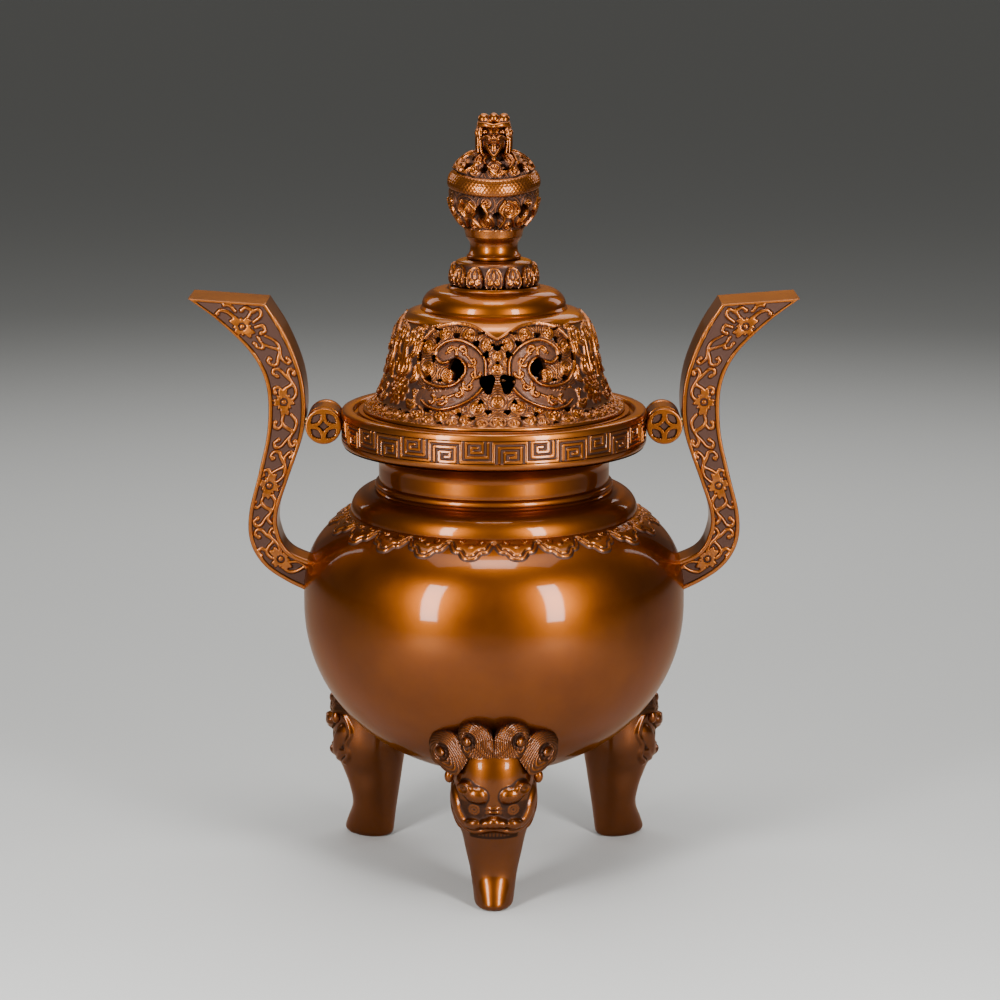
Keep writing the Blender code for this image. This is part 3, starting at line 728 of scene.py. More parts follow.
def make_collar():
    """Lotus petals with doubled lobes and inner curls, round the foot of the stem."""
    columns = PETALS * 44
    control = ((26.0, 385.9), (28.2, 387.0), (28.8, 390.0), (28.4, 394.0), (27.2, 398.0),
               (24.6, 401.2), (20.8, 402.6), (18.0, 402.8))
    outer = resample(smooth_path(control, 8), 0.5)
    along = length_along(outer)
    local = ((angles(columns) + math.pi / 2) * PETALS / TAU + 0.5) % 1.0 - 0.5
    share, y = np.meshgrid(local, along)
    x = np.abs(share) * TAU * outer[:, :1] / PETALS
    lobe = dome(np.hypot((x - 2.8) / 3.0, (y - 4.6) / 3.2), 1.0)
    arch = dome(np.hypot(x / 6.0, (y - 5.6) / 10.6), 1.0) * ramp(y, 3.4, 5.6)
    petal = np.maximum(arch, lobe)
    rim = 1.0 - ramp(petal, 0.30, 0.62)
    curl = np.zeros(x.shape)
    stroke(curl, x, y, curl_path((2.5, 5.6), 1.9, 80, 1.25, 1), 0.75, 1.0)
    stroke(curl, x, y, smooth_path([(0.0, 8.0), (0.5, 10.5), (0.0, 13.4)]), 0.7, 1.0, 0.3)
    stroke(curl, x, y, smooth_path([(3.6, 8.4), (3.2, 11.0), (1.8, 13.2)]), 0.7, 0.9, 0.3)
    height = -1.7 + 2.4 * ramp(petal, 0.0, 0.35) - 0.8 * (1.0 - rim) + 0.9 * curl * (petal > 0.1)
    tone = ramp(petal, 0.05, 0.25) * np.clip(0.75 * rim + 0.75 * curl + 0.14, 0.0, 1.0)
    upper = ramp(y, 15.5, 18.0)
    height = height * (1.0 - upper) - 0.3 * upper
    tone = np.maximum(tone * (1.0 - upper), 0.45 * upper)
    points = turn_profile(outer, columns, height, closed=False)
    core = np.array([[9.8, 402.8], [9.8, 394.0], [9.8, 385.9], [20.0, 385.9]])
    ring = turn_profile(core, columns, closed=False)
    points = np.concatenate([points, ring])
    tone = np.concatenate([tone, np.ones((len(core), columns))])
    item = grid_object("lotus_petals", points, tone, wrap_u=True, wrap_v=True)
    finish_piece(item, "lid", CARVED, ["lotus_collar"], 60.0)


def make_stem():
    """The hollow stem between the petals and the ball."""
    control = ((17.4, 403.1), (17.5, 404.6), (16.2, 406.0), (15.4, 408.5), (15.3, 411.0),
               (16.0, 413.6), (17.6, 416.0), (18.2, 417.1))
    outer = np.vstack([[[9.2, 364.0], [9.2, 402.9]], smooth_path(control, 6)])
    inner = [[6.2, 417.1], [6.2, 390.0], [6.2, 364.0]]
    item = turned("hollow_stem", np.vstack([outer, inner]), 128)
    finish_piece(item, "lid", POLISHED, ["knob_stem"], 30.0)


BEAD_Z = 444.6
BEAD_RADIUS = 28.0
BEAD_WALL = 2.8
BEAD_REPEATS = 6
# Curls of one repeat: degrees, mm up, radius, hand
BEAD_CURLS = ((20.0, -8.0, 6.0, 1), (-12.0, -15.6, 5.0, -1), (2.0, 16.8, 5.2, 1),
              (33.0, 22.0, 3.8, -1), (31.0, 15.8, 3.6, 1), (-10.0, -4.0, 3.2, 1),
              (24.0, -19.0, 3.0, -1))
# Holes of one repeat: degrees, mm up, half width, half height
BEAD_HOLES = ((42.0, -9.0, 2.9, 4.4), (4.0, -11.6, 2.6, 2.4), (6.0, -20.0, 3.2, 1.5),
              (17.0, 18.0, 2.6, 2.4), (45.0, 17.0, 2.4, 2.4), (16.0, 23.0, 1.8, 1.2))
# Flame tongues of one repeat: degrees round the ball, then (across, up) points in mm
TONGUES = ((32.0, ((-2.0, -3.5), (1.6, -8.0), (-1.6, -13.0), (2.0, -19.0))),
           (8.0, ((3.0, -3.0), (0.0, -8.0), (3.4, -13.0), (0.4, -19.0))),
           (50.0, ((-2.6, -5.0), (0.6, -10.0), (-1.4, -15.0), (0.8, -20.0))),
           (24.0, ((-6.0, 14.4), (-1.0, 16.6), (3.0, 20.6), (1.0, 25.0))),
           (52.0, ((5.0, 14.4), (1.0, 17.0), (-3.0, 21.0), (0.0, 25.0))))
BODY_HALF = 6.0                # half width of the scaled body round the ball
SCALE_PITCH = 1.7


def bead_fields(turn, level, radius):
    """Height, tone and hole distance of the ball; turn in degrees, level in mm from its middle."""
    across = level - 7.4 + 1.8 * np.cos(np.radians(turn * 2.0))
    row = np.floor(across / SCALE_PITCH)
    scale_x = (np.radians(turn) * BEAD_RADIUS / 2.5 + 0.5 * (row % 2)) % 1.0 - 0.5
    scale_y = across / SCALE_PITCH - row
    scale = np.clip(1.0 - np.hypot(scale_x * 1.7, scale_y - 0.15), 0.0, 1.0)
    body = 2.5 * dome(across, BODY_HALF) + 0.28 * scale * (np.abs(across) < 5.0)
    starts = [60.0 * index for index in range(BEAD_REPEATS)]

    def off(degrees):
        """Mm round the ball from a longitude."""
        return ((turn - degrees + 180.0) % 360.0 - 180.0) * math.pi / 180.0 * radius

    curls = [(off(start + degrees), level - up, size, hand)
             for start in starts for degrees, up, size, hand in BEAD_CURLS]
    nearest = np.full(turn.shape, 99.0)
    for x, y, size, _ in curls:
        nearest = np.minimum(nearest, np.hypot(x, y) - size)
    height = 0.2 + 0.9 * (0.5 + 0.5 * np.cos(TAU * nearest / 2.3))
    for number, (x, y, size, hand) in enumerate(curls):
        spiral_boss(height, x, y, size, 2.4, hand, number * 0.9, 2.5)
    hole = np.full(turn.shape, 9.0)
    for start in starts:
        for degrees, path in TONGUES:
            stroke(height, off(start + degrees), level, smooth_path(path), 1.5, 2.5, 0.5)
        for degrees, up, wide, tall in BEAD_HOLES:
            far = np.hypot(off(start + degrees) / wide, (level - up) / tall)
            hole = np.minimum(hole, (far - 1.0) * min(wide, tall))
    on_body = np.abs(across) < BODY_HALF
    height = np.where(on_body, np.maximum(height * 0.2, body), height)
    hole = np.where(on_body, 9.0, hole)
    foot = ramp(-level, 21.4, 22.6)
    height = height * (1.0 - foot) + 0.9 * foot
    tone = np.where(on_body, 0.42 + 0.35 * scale, ramp(height, 0.3, 2.2))
    tone = np.where(np.abs(np.abs(across) - BODY_HALF) < 0.5, 0.05, tone)
    return height, np.clip(np.maximum(tone, foot), 0.0, 1.0), hole


def make_bead():
    """The openwork ball: a scaled body goes round it, with curls and holes above and below."""
    columns = 480
    polar = np.radians(np.linspace(12.0, 135.0, 90))[::-1]
    fuller = np.where(np.cos(polar) > 0.0, 2.0 / 2.4, 1.0)
    up = 0.97 * BEAD_RADIUS * np.sign(np.cos(polar)) * np.abs(np.cos(polar)) ** fuller
    ball = np.stack([BEAD_RADIUS * np.sin(polar) ** fuller, BEAD_Z + up], -1)
    foot_line = smooth_path([(17.3, 417.5), (17.8, 419.8), (18.6, 422.6), tuple(ball[0])])
    line = resample(np.vstack([foot_line[:-1], ball]), 0.42)
    turn, level = np.meshgrid(np.degrees(angles(columns) + math.pi / 2), line[:, 1] - BEAD_Z)
    height, tone, hole = bead_fields(turn, level, line[:, :1])
    outside = turn_profile(line, columns, height, closed=False)
    inside = turn_profile(line, columns, -BEAD_WALL, closed=False)
    item = slab("openwork_bead", outside, inside, tone, hole, wrap_u=True)
    finish_piece(item, "lid", CARVED, ["dragon_bead"], 60.0)


# ---------------------------------------------------------------- handles

# Matched (across, height) points down the inner and outer edges of the handles, mm
HANDLE_INNER = ((146.2, 375.6), (134.0, 355.6), (124.6, 331.5), (121.8, 309.0), (124.6, 287.0),
                (134.6, 258.0), (141.0, 238.0), (140.6, 224.0), (133.0, 210.5), (112.0, 201.5))
HANDLE_OUTER = ((195.8, 379.2), (176.4, 364.4), (156.0, 343.5), (146.6, 322.0), (146.4, 294.0),
                (152.4, 266.0), (159.4, 238.0), (159.2, 218.5), (151.0, 203.0), (136.0, 191.6),
                (112.0, 180.0))
# Where on the outer edge each inner point has its partner, counted in outer points
HANDLE_PARTNERS = (0.0, 1.55, 2.65, 3.45, 4.25, 5.3, 6.0, 6.9, 8.2, 10.0)
FLOWERS = (27.0, 82.0, 138.0, 190.0)   # how far down the bar each flower sits
VINE_HALF = 1.35


def handle_edges(step):
    """Matched points down the inner and the outer edge, and how far down the bar they lie."""
    spans = 16
    inner = smooth_path(HANDLE_INNER, spans)
    outer = smooth_path(HANDLE_OUTER, spans)
    inner_at = np.arange(len(inner)) / spans
    partner = np.interp(inner_at, np.arange(len(HANDLE_PARTNERS)), HANDLE_PARTNERS) * spans
    numbers = np.arange(len(outer))
    outer = np.stack([np.interp(partner, numbers, outer[:, k]) for k in (0, 1)], -1)
    along = length_along((inner + outer) / 2.0)
    where = np.linspace(0.0, along[-1], int(along[-1] / step))
    inner, outer = [np.stack([np.interp(where, along, edge[:, k]) for k in (0, 1)], -1)
                    for edge in (inner, outer)]
    return inner, outer, where


def hook(field, s, w, points):
    """A vine stroke that ends in a small bulb."""
    curve = smooth_path(points)
    stroke(field, s, w, curve, VINE_HALF, 1.0)
    end = curve[-1]
    np.maximum(field, 1.05 * dome(np.hypot(s - end[0], w - end[1]), 1.85), out=field)


# Vine strokes from a flower to the middle of a span: share of the way (28 is the middle), mm
# across from the bar's middle, positive outwards
VINE = (((4.5, -3.0), (9.0, -6.2), (14.0, -6.2), (19.0, -4.2), (23.0, -3.8), (26.0, -6.0),
         (24.6, -8.2), (22.6, -7.4)),
        ((18.0, -4.6), (22.0, -1.6), (26.0, 0.8), (26.4, 4.2), (23.4, 5.6), (21.6, 3.6)),
        ((5.0, 2.4), (9.4, 2.8), (12.8, 0.2), (15.6, -4.6)),
        ((10.6, 2.2), (13.6, 4.4), (12.8, 7.2), (9.8, 7.2)))


def vine_unit(field, s, w, start, end):
    """Scrolls that run from a flower to the middle of a span, and back up from the next one."""
    stretch = (end - start) / 56.0
    for way, base in ((1, start), (-1, end)):
        for path in VINE:
            hook(field, s, w, [(base + way * a * stretch, b) for a, b in path])


def flower(field, x, z, centre, heading, size):
    """A four-petalled flower with pointed leaves between; heading is along the bar."""
    dx, dz = x - centre[0], z - centre[1]
    far = np.hypot(dx, dz)
    turn = np.arctan2(dz, dx) - heading
    petals = np.abs(np.cos(2.0 * turn)) ** 0.7
    small = np.abs(np.sin(2.0 * turn)) ** 2.2
    stretch = 1.0 + 0.30 * np.abs(np.cos(turn)) ** 4
    notch = 1.0 - 0.10 * np.cos(12.0 * turn)
    edge = size * stretch * notch * np.maximum(0.40 + 0.60 * petals, 0.42 + 0.34 * small)
    inside = np.clip((edge - far) / 0.9, 0.0, 1.0)
    np.maximum(field, inside ** 0.6 * (0.8 + 0.25 * np.clip(far / size, 0.0, 1.0)), out=field)
    field[np.abs(far - 2.1) < 0.5] = 0.2
    heart = far < 1.6
    field[heart] = np.maximum(field[heart], 1.1 * dome(far[heart], 2.4))


# Flowers' middles in (across, height), and vine strokes round the tip flower, mm
FLOWER_CENTRES = ((161.5, 361.0), (135.6, 311.5), (146.0, 256.0), (139.5, 206.5))
TIP_STROKES = (((166.0, 366.5), (170.6, 370.4), (175.4, 371.6), (177.4, 369.4)),
               ((157.6, 367.0), (155.6, 371.0), (158.8, 373.4), (161.6, 371.6)),
               ((154.0, 364.0), (149.4, 368.0), (150.6, 372.2), (154.2, 371.0)),
               ((153.0, 360.6), (148.4, 361.6), (146.8, 358.0), (149.4, 356.6)),
               ((165.8, 371.0), (169.0, 374.6), (172.6, 375.2)))


def handle_relief(s, w, x, z):
    """The carving on a handle's face, 0 to about 1; s is down the bar and w across it."""
    field = np.zeros(s.shape)
    for start, end in zip(FLOWERS[:-1], FLOWERS[1:]):
        vine_unit(field, s, w, start, end)
    for path in TIP_STROKES:
        hook(field, x, z, path)
    for path in VINE[:3]:
        hook(field, s, w, [(FLOWERS[-1] + a, b) for a, b in path])
    for centre, tilt in zip(FLOWER_CENTRES, (40.0, 86.0, -72.0, 50.0)):
        flower(field, x, z, centre, math.radians(tilt), 7.2)
    return field


def make_handle(name, side):
    """An S-shaped bar with a raised border round vine scrolls, on its front and its back."""
    inner, outer, along = handle_edges(0.46)
    face = np.linspace(0.0, 1.0, 66)
    wall = np.linspace(0.0, 1.0, 7)[1:-1]
    width = np.hypot(*(outer - inner).T)
    u, s = np.meshgrid(face, along)
    w = (u - 0.5) * width[:, None]
    edge = np.minimum(u, 1.0 - u) * width[:, None]
    edge = np.minimum(edge, s * 1.05)
    border = 1.0 - ramp(edge, 2.2, 2.9)
    across = inner[:, None] + (outer - inner)[:, None] * face[None, :, None]
    field = handle_relief(s, w, across[..., 0], across[..., 1]) * ramp(edge, 2.2, 2.8)
    depth = 1.35 * (1.0 - np.maximum(border, np.clip(field, 0.0, 1.0)))
    depth += 0.45 * (1.0 - ramp(edge, 0.0, 0.5))
    tone = np.clip(1.0 - depth / 1.2, 0.0, 1.0)
    half = 13.5 + 8.5 * (across[..., 1] - 200.0) / 175.0
    front = np.stack([side * across[..., 0], -(half - depth), across[..., 1]], -1)
    back = front * np.array([1.0, -1.0, 1.0])
    ones = np.ones((len(along), wall.size))
    out_wall, in_wall = [
        np.stack([side * edge_line[:, :1] * ones, (reach - 0.45) * way * (2.0 * wall - 1.0),
                  edge_line[:, 1:] * ones], -1)
        for edge_line, reach, way in ((outer, half[:, -1:], 1.0), (inner, half[:, :1], -1.0))]
    points = np.concatenate([front, out_wall, back[:, ::-1], in_wall], axis=1)
    tones = np.concatenate([tone, ones, tone[:, ::-1], ones], axis=1)
    caps = []
    for row in (0, -1):
        centre = points[row].mean(axis=0)
        ring = [centre + (points[row] - centre) * share for share in (0.002, 0.35, 0.7, 0.97)]
        caps.append(np.array(ring))
    points = np.concatenate([caps[0], points, caps[1][::-1]])
    plain = np.ones((4, points.shape[1]))
    tones = np.concatenate([plain, tones, plain])
    item = grid_object("scrolled_handle_" + name, points, tones, wrap_u=True, flip=side > 0)
    weld(item)
    finish_piece(item, "burner", CARVED, ["handle_" + name], 50.0)


COIN_RADIUS = 11.7
COIN_HALF = 18.5               # half its length along Y
COIN_X, COIN_Z = 110.3, 295.5


def make_coin(name, side):
    """A coin-shaped strut along Y between the rim and the handle, pierced-looking at both ends."""
    edge = rounded([(0.01, COIN_HALF, 0.0), (COIN_RADIUS, COIN_HALF, 0.8),
                    (COIN_RADIUS, -COIN_HALF, 0.8), (0.01, -COIN_HALF, 0.0)], closed=False)
    line = resample(edge, 0.4)
    phi, distance = np.meshgrid(angles(150), line[:, 0])
    level = np.broadcast_to(line[:, 1:], phi.shape)
    x, z = distance * np.cos(phi), distance * np.sin(phi)
    on_face = np.abs(level) > COIN_HALF - 0.9
    petals = np.zeros(x.shape)
    for quarter in range(4):
        turn = math.pi / 4 + quarter * math.pi / 2
        along = x * math.cos(turn) + z * math.sin(turn) - 6.9
        off = -x * math.sin(turn) + z * math.cos(turn)
        lens = np.abs(along) / 2.6 + (np.abs(off) / 4.6) ** 2
        petals = np.maximum(petals, 1.0 - ramp(lens, 0.75, 1.0))
    diamond = np.abs(x) ** 0.75 + np.abs(z) ** 0.75
    petals = np.maximum(petals, 1.0 - ramp(diamond, 2.5, 2.9))
    sunk = 2.2 * petals * on_face
    groove = dome(np.abs(level) - 11.5, 1.6) * (~on_face) * 1.4
    reach = distance - groove
    points = np.stack([side * COIN_X + reach * np.cos(phi), np.sign(level) * sunk - level,
                       COIN_Z + reach * np.sin(phi)], -1)
    tone = np.clip(1.0 - sunk / 1.6 - groove / 1.2, 0.0, 1.0)
    item = grid_object("coin_strut_" + name, points, tone, wrap_u=True)
    weld(item, 0.00003)
    finish_piece(item, "burner", CARVED, ["coin_" + name], 50.0)


# ---------------------------------------------------------------- legs

# Height, middle radius, half along the radius, half across, mm
LEG_SECTIONS = ((0.0, 99.0, 14.8, 10.3), (1.2, 99.0, 16.8, 11.8), (3.6, 99.0, 17.8, 12.6),
                (10.0, 97.5, 17.0, 13.4), (22.0, 94.5, 15.2, 15.2), (35.0, 94.5, 17.0, 18.0),
                (47.0, 96.0, 20.3, 20.5), (57.0, 97.5, 23.0, 24.0), (68.0, 98.0, 24.5, 26.4),
                (84.0, 98.0, 25.0, 25.5), (98.0, 96.0, 25.4, 25.0), (105.0, 93.0, 25.2, 25.0),
                (112.0, 86.0, 18.0, 22.0))


def add_brows(height, tone, side, z):
    """Eye sockets, hooded lids and combed brows that end in a coil."""
    socket = 1.0 - ramp(np.hypot((side - 12.4) / 7.6, (z - 68.6) / 5.4), 0.8, 1.08)
    height -= 2.2 * socket
    tone -= 0.85 * socket
    hood = ramp(z, 61.0, 63.0) * (1.0 - ramp(z, 73.4, 75.4)) * ramp(side, 4.4, 5.6)
    hood = hood * (1.0 - ramp(side, 20.5, 22.0))
    height -= 0.9 * hood
    tone = np.minimum(tone, 1.0 - 0.8 * hood)
    brow_x = (side - 12.6) * 0.94 + (z - 79.4) * 0.34
    brow_z = (z - 79.4) * 0.94 - (side - 12.6) * 0.34
    brow_far = np.hypot(brow_x / 9.4, brow_z / (5.8 - 0.24 * np.clip(brow_x, -8.0, 4.0)))
    brow = swell(brow_far, 1.0)
    moat = ramp(brow_far, 0.90, 1.0) * (1.0 - ramp(brow_far, 1.06, 1.2))
    hair = 0.5 + 0.5 * np.cos(TAU * (0.8 * brow_x - 0.5 * brow_z) / 2.2)
    height += 4.2 * brow + 0.35 * hair * ramp(brow, 0.1, 0.4) - 0.5 * moat
    tone -= 0.75 * moat + 0.30 * (1.0 - hair) * ramp(brow, 0.1, 0.4)
    coil = np.hypot(side - 16.6, z - 83.0)
    height = np.where(coil < 4.4, np.maximum(height, 4.6 + 0.6 * np.cos(TAU * coil / 2.9)), height)
    return height, tone


def add_eyes(height, tone, side, z):
    """Ringed eyeballs, and the wrinkles on the bridge of the nose."""
    eye = np.hypot(side - 12.4, z - 69.2)
    height = np.maximum(height, -0.9 + 1.3 * dome(eye - 2.9, 0.75) * (eye < 3.8))
    height = np.where(eye < 2.2, -1.5 + 1.6 * dome(eye, 2.3), height)
    height = np.where(eye < 0.85, -1.2, height)
    tone = np.where(np.abs(eye - 2.95) < 0.65, 0.95, tone)
    tone = np.where(eye < 1.8, 0.9, tone)
    tone = np.where(eye < 0.8, 0.1, tone)
    for level in (70.7, 68.0):
        bar = dome(z - level, 0.95) * (1.0 - ramp(side, 2.6, 3.4))
        height = np.maximum(height, 1.5 * bar - 0.4 * (bar < 0.05))
    between = (side < 5.6) * (1.0 - ramp(np.abs(z - 69.2), 3.4, 4.6))
    tone -= 0.55 * between * (np.abs(np.abs(z - 69.35) - 1.35) > 0.85)
    return height, tone


def add_muzzle(height, tone, side, z):
    """The folds from the temples to the cheeks, the cheeks and the broad nose."""
    cheek_path = [(27.0, 80.0), (24.4, 73.0), (22.6, 66.5), (19.6, 61.0), (16.2, 58.0)]
    band_far, _ = path_distance(side, z, smooth_path(cheek_path), 7.0)
    height = np.maximum(height, 2.6 * dome(band_far, 2.7) - 0.2)
    tone = np.where(band_far < 2.3, 1.0, tone)
    under_band = (band_far > 2.6) & (band_far < 3.5)
    tone = np.where(under_band & (z < 76.0), np.minimum(tone, 0.25), tone)
    cheek = swell(np.hypot((side - 12.6) / 6.2, (z - 59.2) / 4.6), 1.0)
    height = np.maximum(height, 4.8 * cheek - 0.6)
    tone = np.where(cheek > 0.22, 1.0, tone)
    nose = swell(np.hypot(side / 6.6, (z - 61.4) / 5.0), 1.0)
    wing = swell(np.hypot(side - 5.2, z - 60.4), 4.0)
    nose = np.maximum(nose * 6.0, wing * 5.2)
    height = np.maximum(height, nose - 0.6)
    tone = np.where(nose > 1.2, 1.0, tone)
    gap = (nose < 0.9) & (cheek < 0.16) & (z < 64.0) & (z > 56.0) & (side < 15.0)
    tone = np.where(gap, np.minimum(tone, 0.2), tone)
    return height, tone


def add_mouth(height, tone, x, z):
    """The upper lip and the open mouth with its row of teeth."""
    side = np.abs(x)
    lip_path = [(0.0, 56.2), (3.6, 55.8), (8.0, 54.4), (13.0, 53.6), (17.4, 54.8), (21.4, 58.4),
                (25.0, 63.4)]
    lip_far, _ = path_distance(side, z, smooth_path(lip_path), 6.0)
    height = np.maximum(height, 1.9 * dome(lip_far, 1.5))
    tone = np.where(lip_far < 1.3, 1.0, tone)
    mouth_top = np.interp(side, [0.0, 8.0, 13.0, 17.0, 60.0], [54.6, 52.8, 52.2, 52.8, 52.8])
    mouth = ramp(mouth_top - z, 0.0, 0.7) * ramp(z, 48.4, 49.4) * (1.0 - ramp(side, 13.0, 16.5))
    tooth = 0.5 + 0.5 * np.cos(TAU * x / 2.3)
    teeth = mouth * (z > 50.8) * (side < 10.5) * ramp(tooth, 0.15, 0.45)
    height -= 2.4 * mouth * (1.0 - 0.75 * teeth)
    tone = np.where(mouth > 0.3, 0.05 + 0.5 * teeth, tone)
    return height, tone


def face_relief(x, z):
    """Height and tone of the guardian beast's face; x is across it, z the height."""
    side = np.abs(x)
    lower = 1.0 - ramp(z, 46.5 + 0.006 * x * x, 51.5 + 0.006 * x * x)
    height = -3.4 * lower * ramp(z, 6.0, 30.0)
    tone = np.ones(x.shape)
    for add in (add_brows, add_eyes, add_muzzle):
        height, tone = add(height, tone, side, z)
    height, tone = add_mouth(height, tone, x, z)
    crown_line = 103.6 + 0.7 * np.cos(side / 2.6) * np.exp(-side / 30.0)
    height += 0.7 * dome(z - crown_line, 0.8)
    return height, np.clip(tone, 0.0, 1.0)


def make_leg(place, turn):
    """A curved leg with the guardian beast's face on its outward side."""
    columns = 300
    sections = smooth_path(LEG_SECTIONS, 10)
    level = np.concatenate([np.linspace(0.0, 46.0, 60), np.arange(46.4, 90.0, 0.42),
                            np.linspace(90.5, 112.0, 34)])
    middle, along, across = (np.interp(level, sections[:, 0], sections[:, k])[:, None]
                             for k in (1, 2, 3))
    theta = angles(columns)
    cos, sin = np.cos(theta), np.sin(theta)
    x = across * cos
    z = np.broadcast_to(level[:, None], x.shape)
    relief, tone = face_relief(x, z)
    front = ramp(-sin, -0.12, 0.30)[None, :]
    relief = relief * front
    tone = 1.0 - (1.0 - tone) * front
    jaw = np.zeros(x.shape)
    depth = along * sin
    stroke(jaw, depth, z, smooth_path([(-9.0, 92.0), (-2.0, 84.0), (1.0, 76.0), (-3.0, 68.0),
                                       (-2.0, 60.0), (-8.0, 54.0)]), 1.7, 1.6)
    relief = np.maximum(relief, jaw * (np.abs(cos) > 0.5) * (1.0 - ramp(-sin, 0.55, 0.8)))
    relief = softened(relief, 4)
    normal = np.stack([cos / across, sin / along], -1)
    normal /= np.linalg.norm(normal, axis=-1, keepdims=True)
    points = np.stack([x + normal[..., 0] * relief, -middle + along * sin + normal[..., 1] * relief,
                       z], -1)
    tone[level < 3.0] = 1.0
    sole, top = np.array([0.0, -99.0, 0.0]), np.array([0.0, -86.0, 112.0])
    low = [sole + (points[0] - sole) * share for share in (0.0, 0.5, 0.96)]
    high = [top + (points[-1] - top) * share for share in (0.6, 0.0)]
    points = np.concatenate([np.array(low), points, np.array(high)])
    tone = np.concatenate([np.ones((3, columns)), tone, np.ones((2, columns))])
    item = grid_object("beast_leg_" + place, points @ turn.T, tone, wrap_u=True)
    weld(item)
    cavity_tone(item, 10, -0.22, -0.02, keep=True)
    # The leg wears the darker copy of the carved bronze: painted shade under the bowl.
    finish_piece(item, "burner", SHADED_CARVED, ["leg_" + place], 70.0)


# Each curl: knob across and up, tilt of its root in degrees, how far it stands out
MANE_CURLS = (((34.0, 103.0), 42.0, 0.0), ((17.0, 112.4), 0.0, 2.0))
# Outline round each knob: degrees from straight outwards over the top, and mm
MANE_SPREADS = (((-90.0, 9.4), (-45.0, 8.0), (0.0, 6.6), (45.0, 8.8), (90.0, 12.6), (135.0, 16.6),
                 (180.0, 20.4), (225.0, 19.0), (270.0, 9.4)),
                ((-90.0, 10.0), (-45.0, 5.0), (0.0, 4.4), (45.0, 7.6), (90.0, 10.8), (135.0, 14.4),
                 (180.0, 17.6), (225.0, 22.0), (270.0, 10.0)))


def mane_fields(x, z):
    """Height, tone and outline of the combed curls; strands rise from the brow and roll outwards."""
    side = np.abs(x)
    height = np.full(x.shape, -2.4)
    tone = np.full(x.shape, 0.12)
    inside = np.minimum(27.0 - side, np.minimum(110.0 - z, z - 89.0))
    for ((cx, cz), tilt, lift), spread in zip(MANE_CURLS, MANE_SPREADS):
        dx, dz = side - cx, z - cz
        lean = math.radians(tilt)
        root_x = dx * math.cos(lean) - dz * math.sin(lean)
        root_z = dz * math.cos(lean) + dx * math.sin(lean)
        far = np.hypot(dx, dz)
        strand = np.hypot(root_x, np.where(root_z < 0.0, 0.42, 1.0) * root_z)
        turn = (np.degrees(np.arctan2(dz, dx)) + 90.0) % 360.0 - 90.0
        edge = np.interp(turn, [a for a, _ in spread], [b for _, b in spread])
        room = np.where(far < 0.1, 4.0, edge - far)
        swirl = 0.5 + 0.5 * np.cos(TAU * strand / 1.35 - np.arctan2(dz, dx) * (far < 4.6))
        body = lift + 3.0 * dome(1.0 - np.clip(room / 6.0, 0.0, 1.0), 1.0) - 1.2
        hollow = dome(far - 4.2, 1.5) * ramp(dx, 3.6, -1.0) * ramp(root_z, -9.0, -1.0)
        body = body - 1.8 * hollow
        lines = body + 0.55 * (swirl - 0.5)
        knob = dome(far, 3.0)
        lines = np.where(knob > 0.0, np.maximum(lines, body + 2.0 * knob), lines)
        here = room > 0.0
        shade = (0.16 + 0.46 * swirl) * (1.0 - 0.8 * hollow)
        shade = np.where(knob > 0.35, 1.0, shade) * ramp(room, 0.1, 0.8)
        tone = np.where(here, shade, tone)
        height = np.where(here, np.maximum(lines, -2.4), height)
        inside = np.maximum(inside, room)
    brow_line = np.interp(side, [0.0, 14.0, 16.0, 23.0, 60.0], [103.2, 102.6, 100.6, 89.6, 88.0])
    return height, np.clip(tone, 0.0, 1.0), np.minimum(inside, z - brow_line)


def make_mane(place, turn):
    """The beast's mane: two pairs of combed curls that spread over the bowl above the leg."""
    across = np.arange(-44.0, 44.01, 0.42)
    level = np.arange(90.0, 127.0, 0.42)
    x, z = np.meshgrid(across, level)
    height, tone, inside = mane_fields(x, z)
    depth = 117.4 - 13.0 * (x / 34.0) ** 2 - 0.16 * (z - 104.0) + height
    behind = np.sqrt(np.maximum(belly_radius(z) ** 2 - x * x, 900.0)) - 2.0
    behind = np.minimum(behind, depth - 2.0)
    front = np.stack([x, -depth, z], -1)
    back = np.stack([x, -behind, z], -1)
    item = slab("mane_" + place, front @ turn.T, back @ turn.T, tone, inside)
    # The mane wears the darker copy of the carved bronze: painted shade under the bowl.
    finish_piece(item, "burner", SHADED_CARVED, (), 50.0)


def make_bead_drops(place, turn):
    """The two hair beads that hang under the outer curls."""
    polar = np.linspace(0.0, math.pi, 17)
    line = np.stack([3.0 * np.sin(polar), 4.4 * -np.cos(polar)], -1)
    for number, side in enumerate((-1, 1)):
        ball = turn_profile(line, 24, closed=False)
        ball = ball + np.array([side * 28.2, -107.0, 87.4])
        item = grid_object("hair_bead_%s_%d" % (place, number), ball @ turn.T, wrap_u=True)
        weld(item)
        finish_piece(item, "burner", POLISHED, (), 38.0)


# ---------------------------------------------------------------- creature on the knob

# Locks down each side of its neck, front to back: mm along Y, mm out to the side
MANE_LOCKS = ((-7.0, 9.6), (-3.0, 10.2), (1.4, 10.4), (5.6, 10.0), (9.6, 8.6))


def blob(centre, radii):
    """A ball stretched along the axes."""
    shape = bmesh.new()
    bmesh.ops.create_icosphere(shape, subdivisions=3, radius=1.0)
    for vert in shape.verts:
        vert.co = Vector([(c + v * r) * MM for c, v, r in zip(centre, vert.co, radii)])
    return shape


def lock(start, end, radius, end_radius, bend=(0.0, 0.0, 0.0)):
    """A chain of overlapping balls from one point to another, bowed in the middle."""
    start, end, bend = np.array(start), np.array(end), np.array(bend)
    count = max(3, int(np.linalg.norm(end - start) / (0.45 * min(radius, end_radius))))
    made = []
    for index in range(count + 1):
        share = index / count
        centre = start + (end - start) * share + bend * math.sin(math.pi * share)
        size = radius + (end_radius - radius) * share
        made.append((tuple(centre), (size, size, size)))
    return made


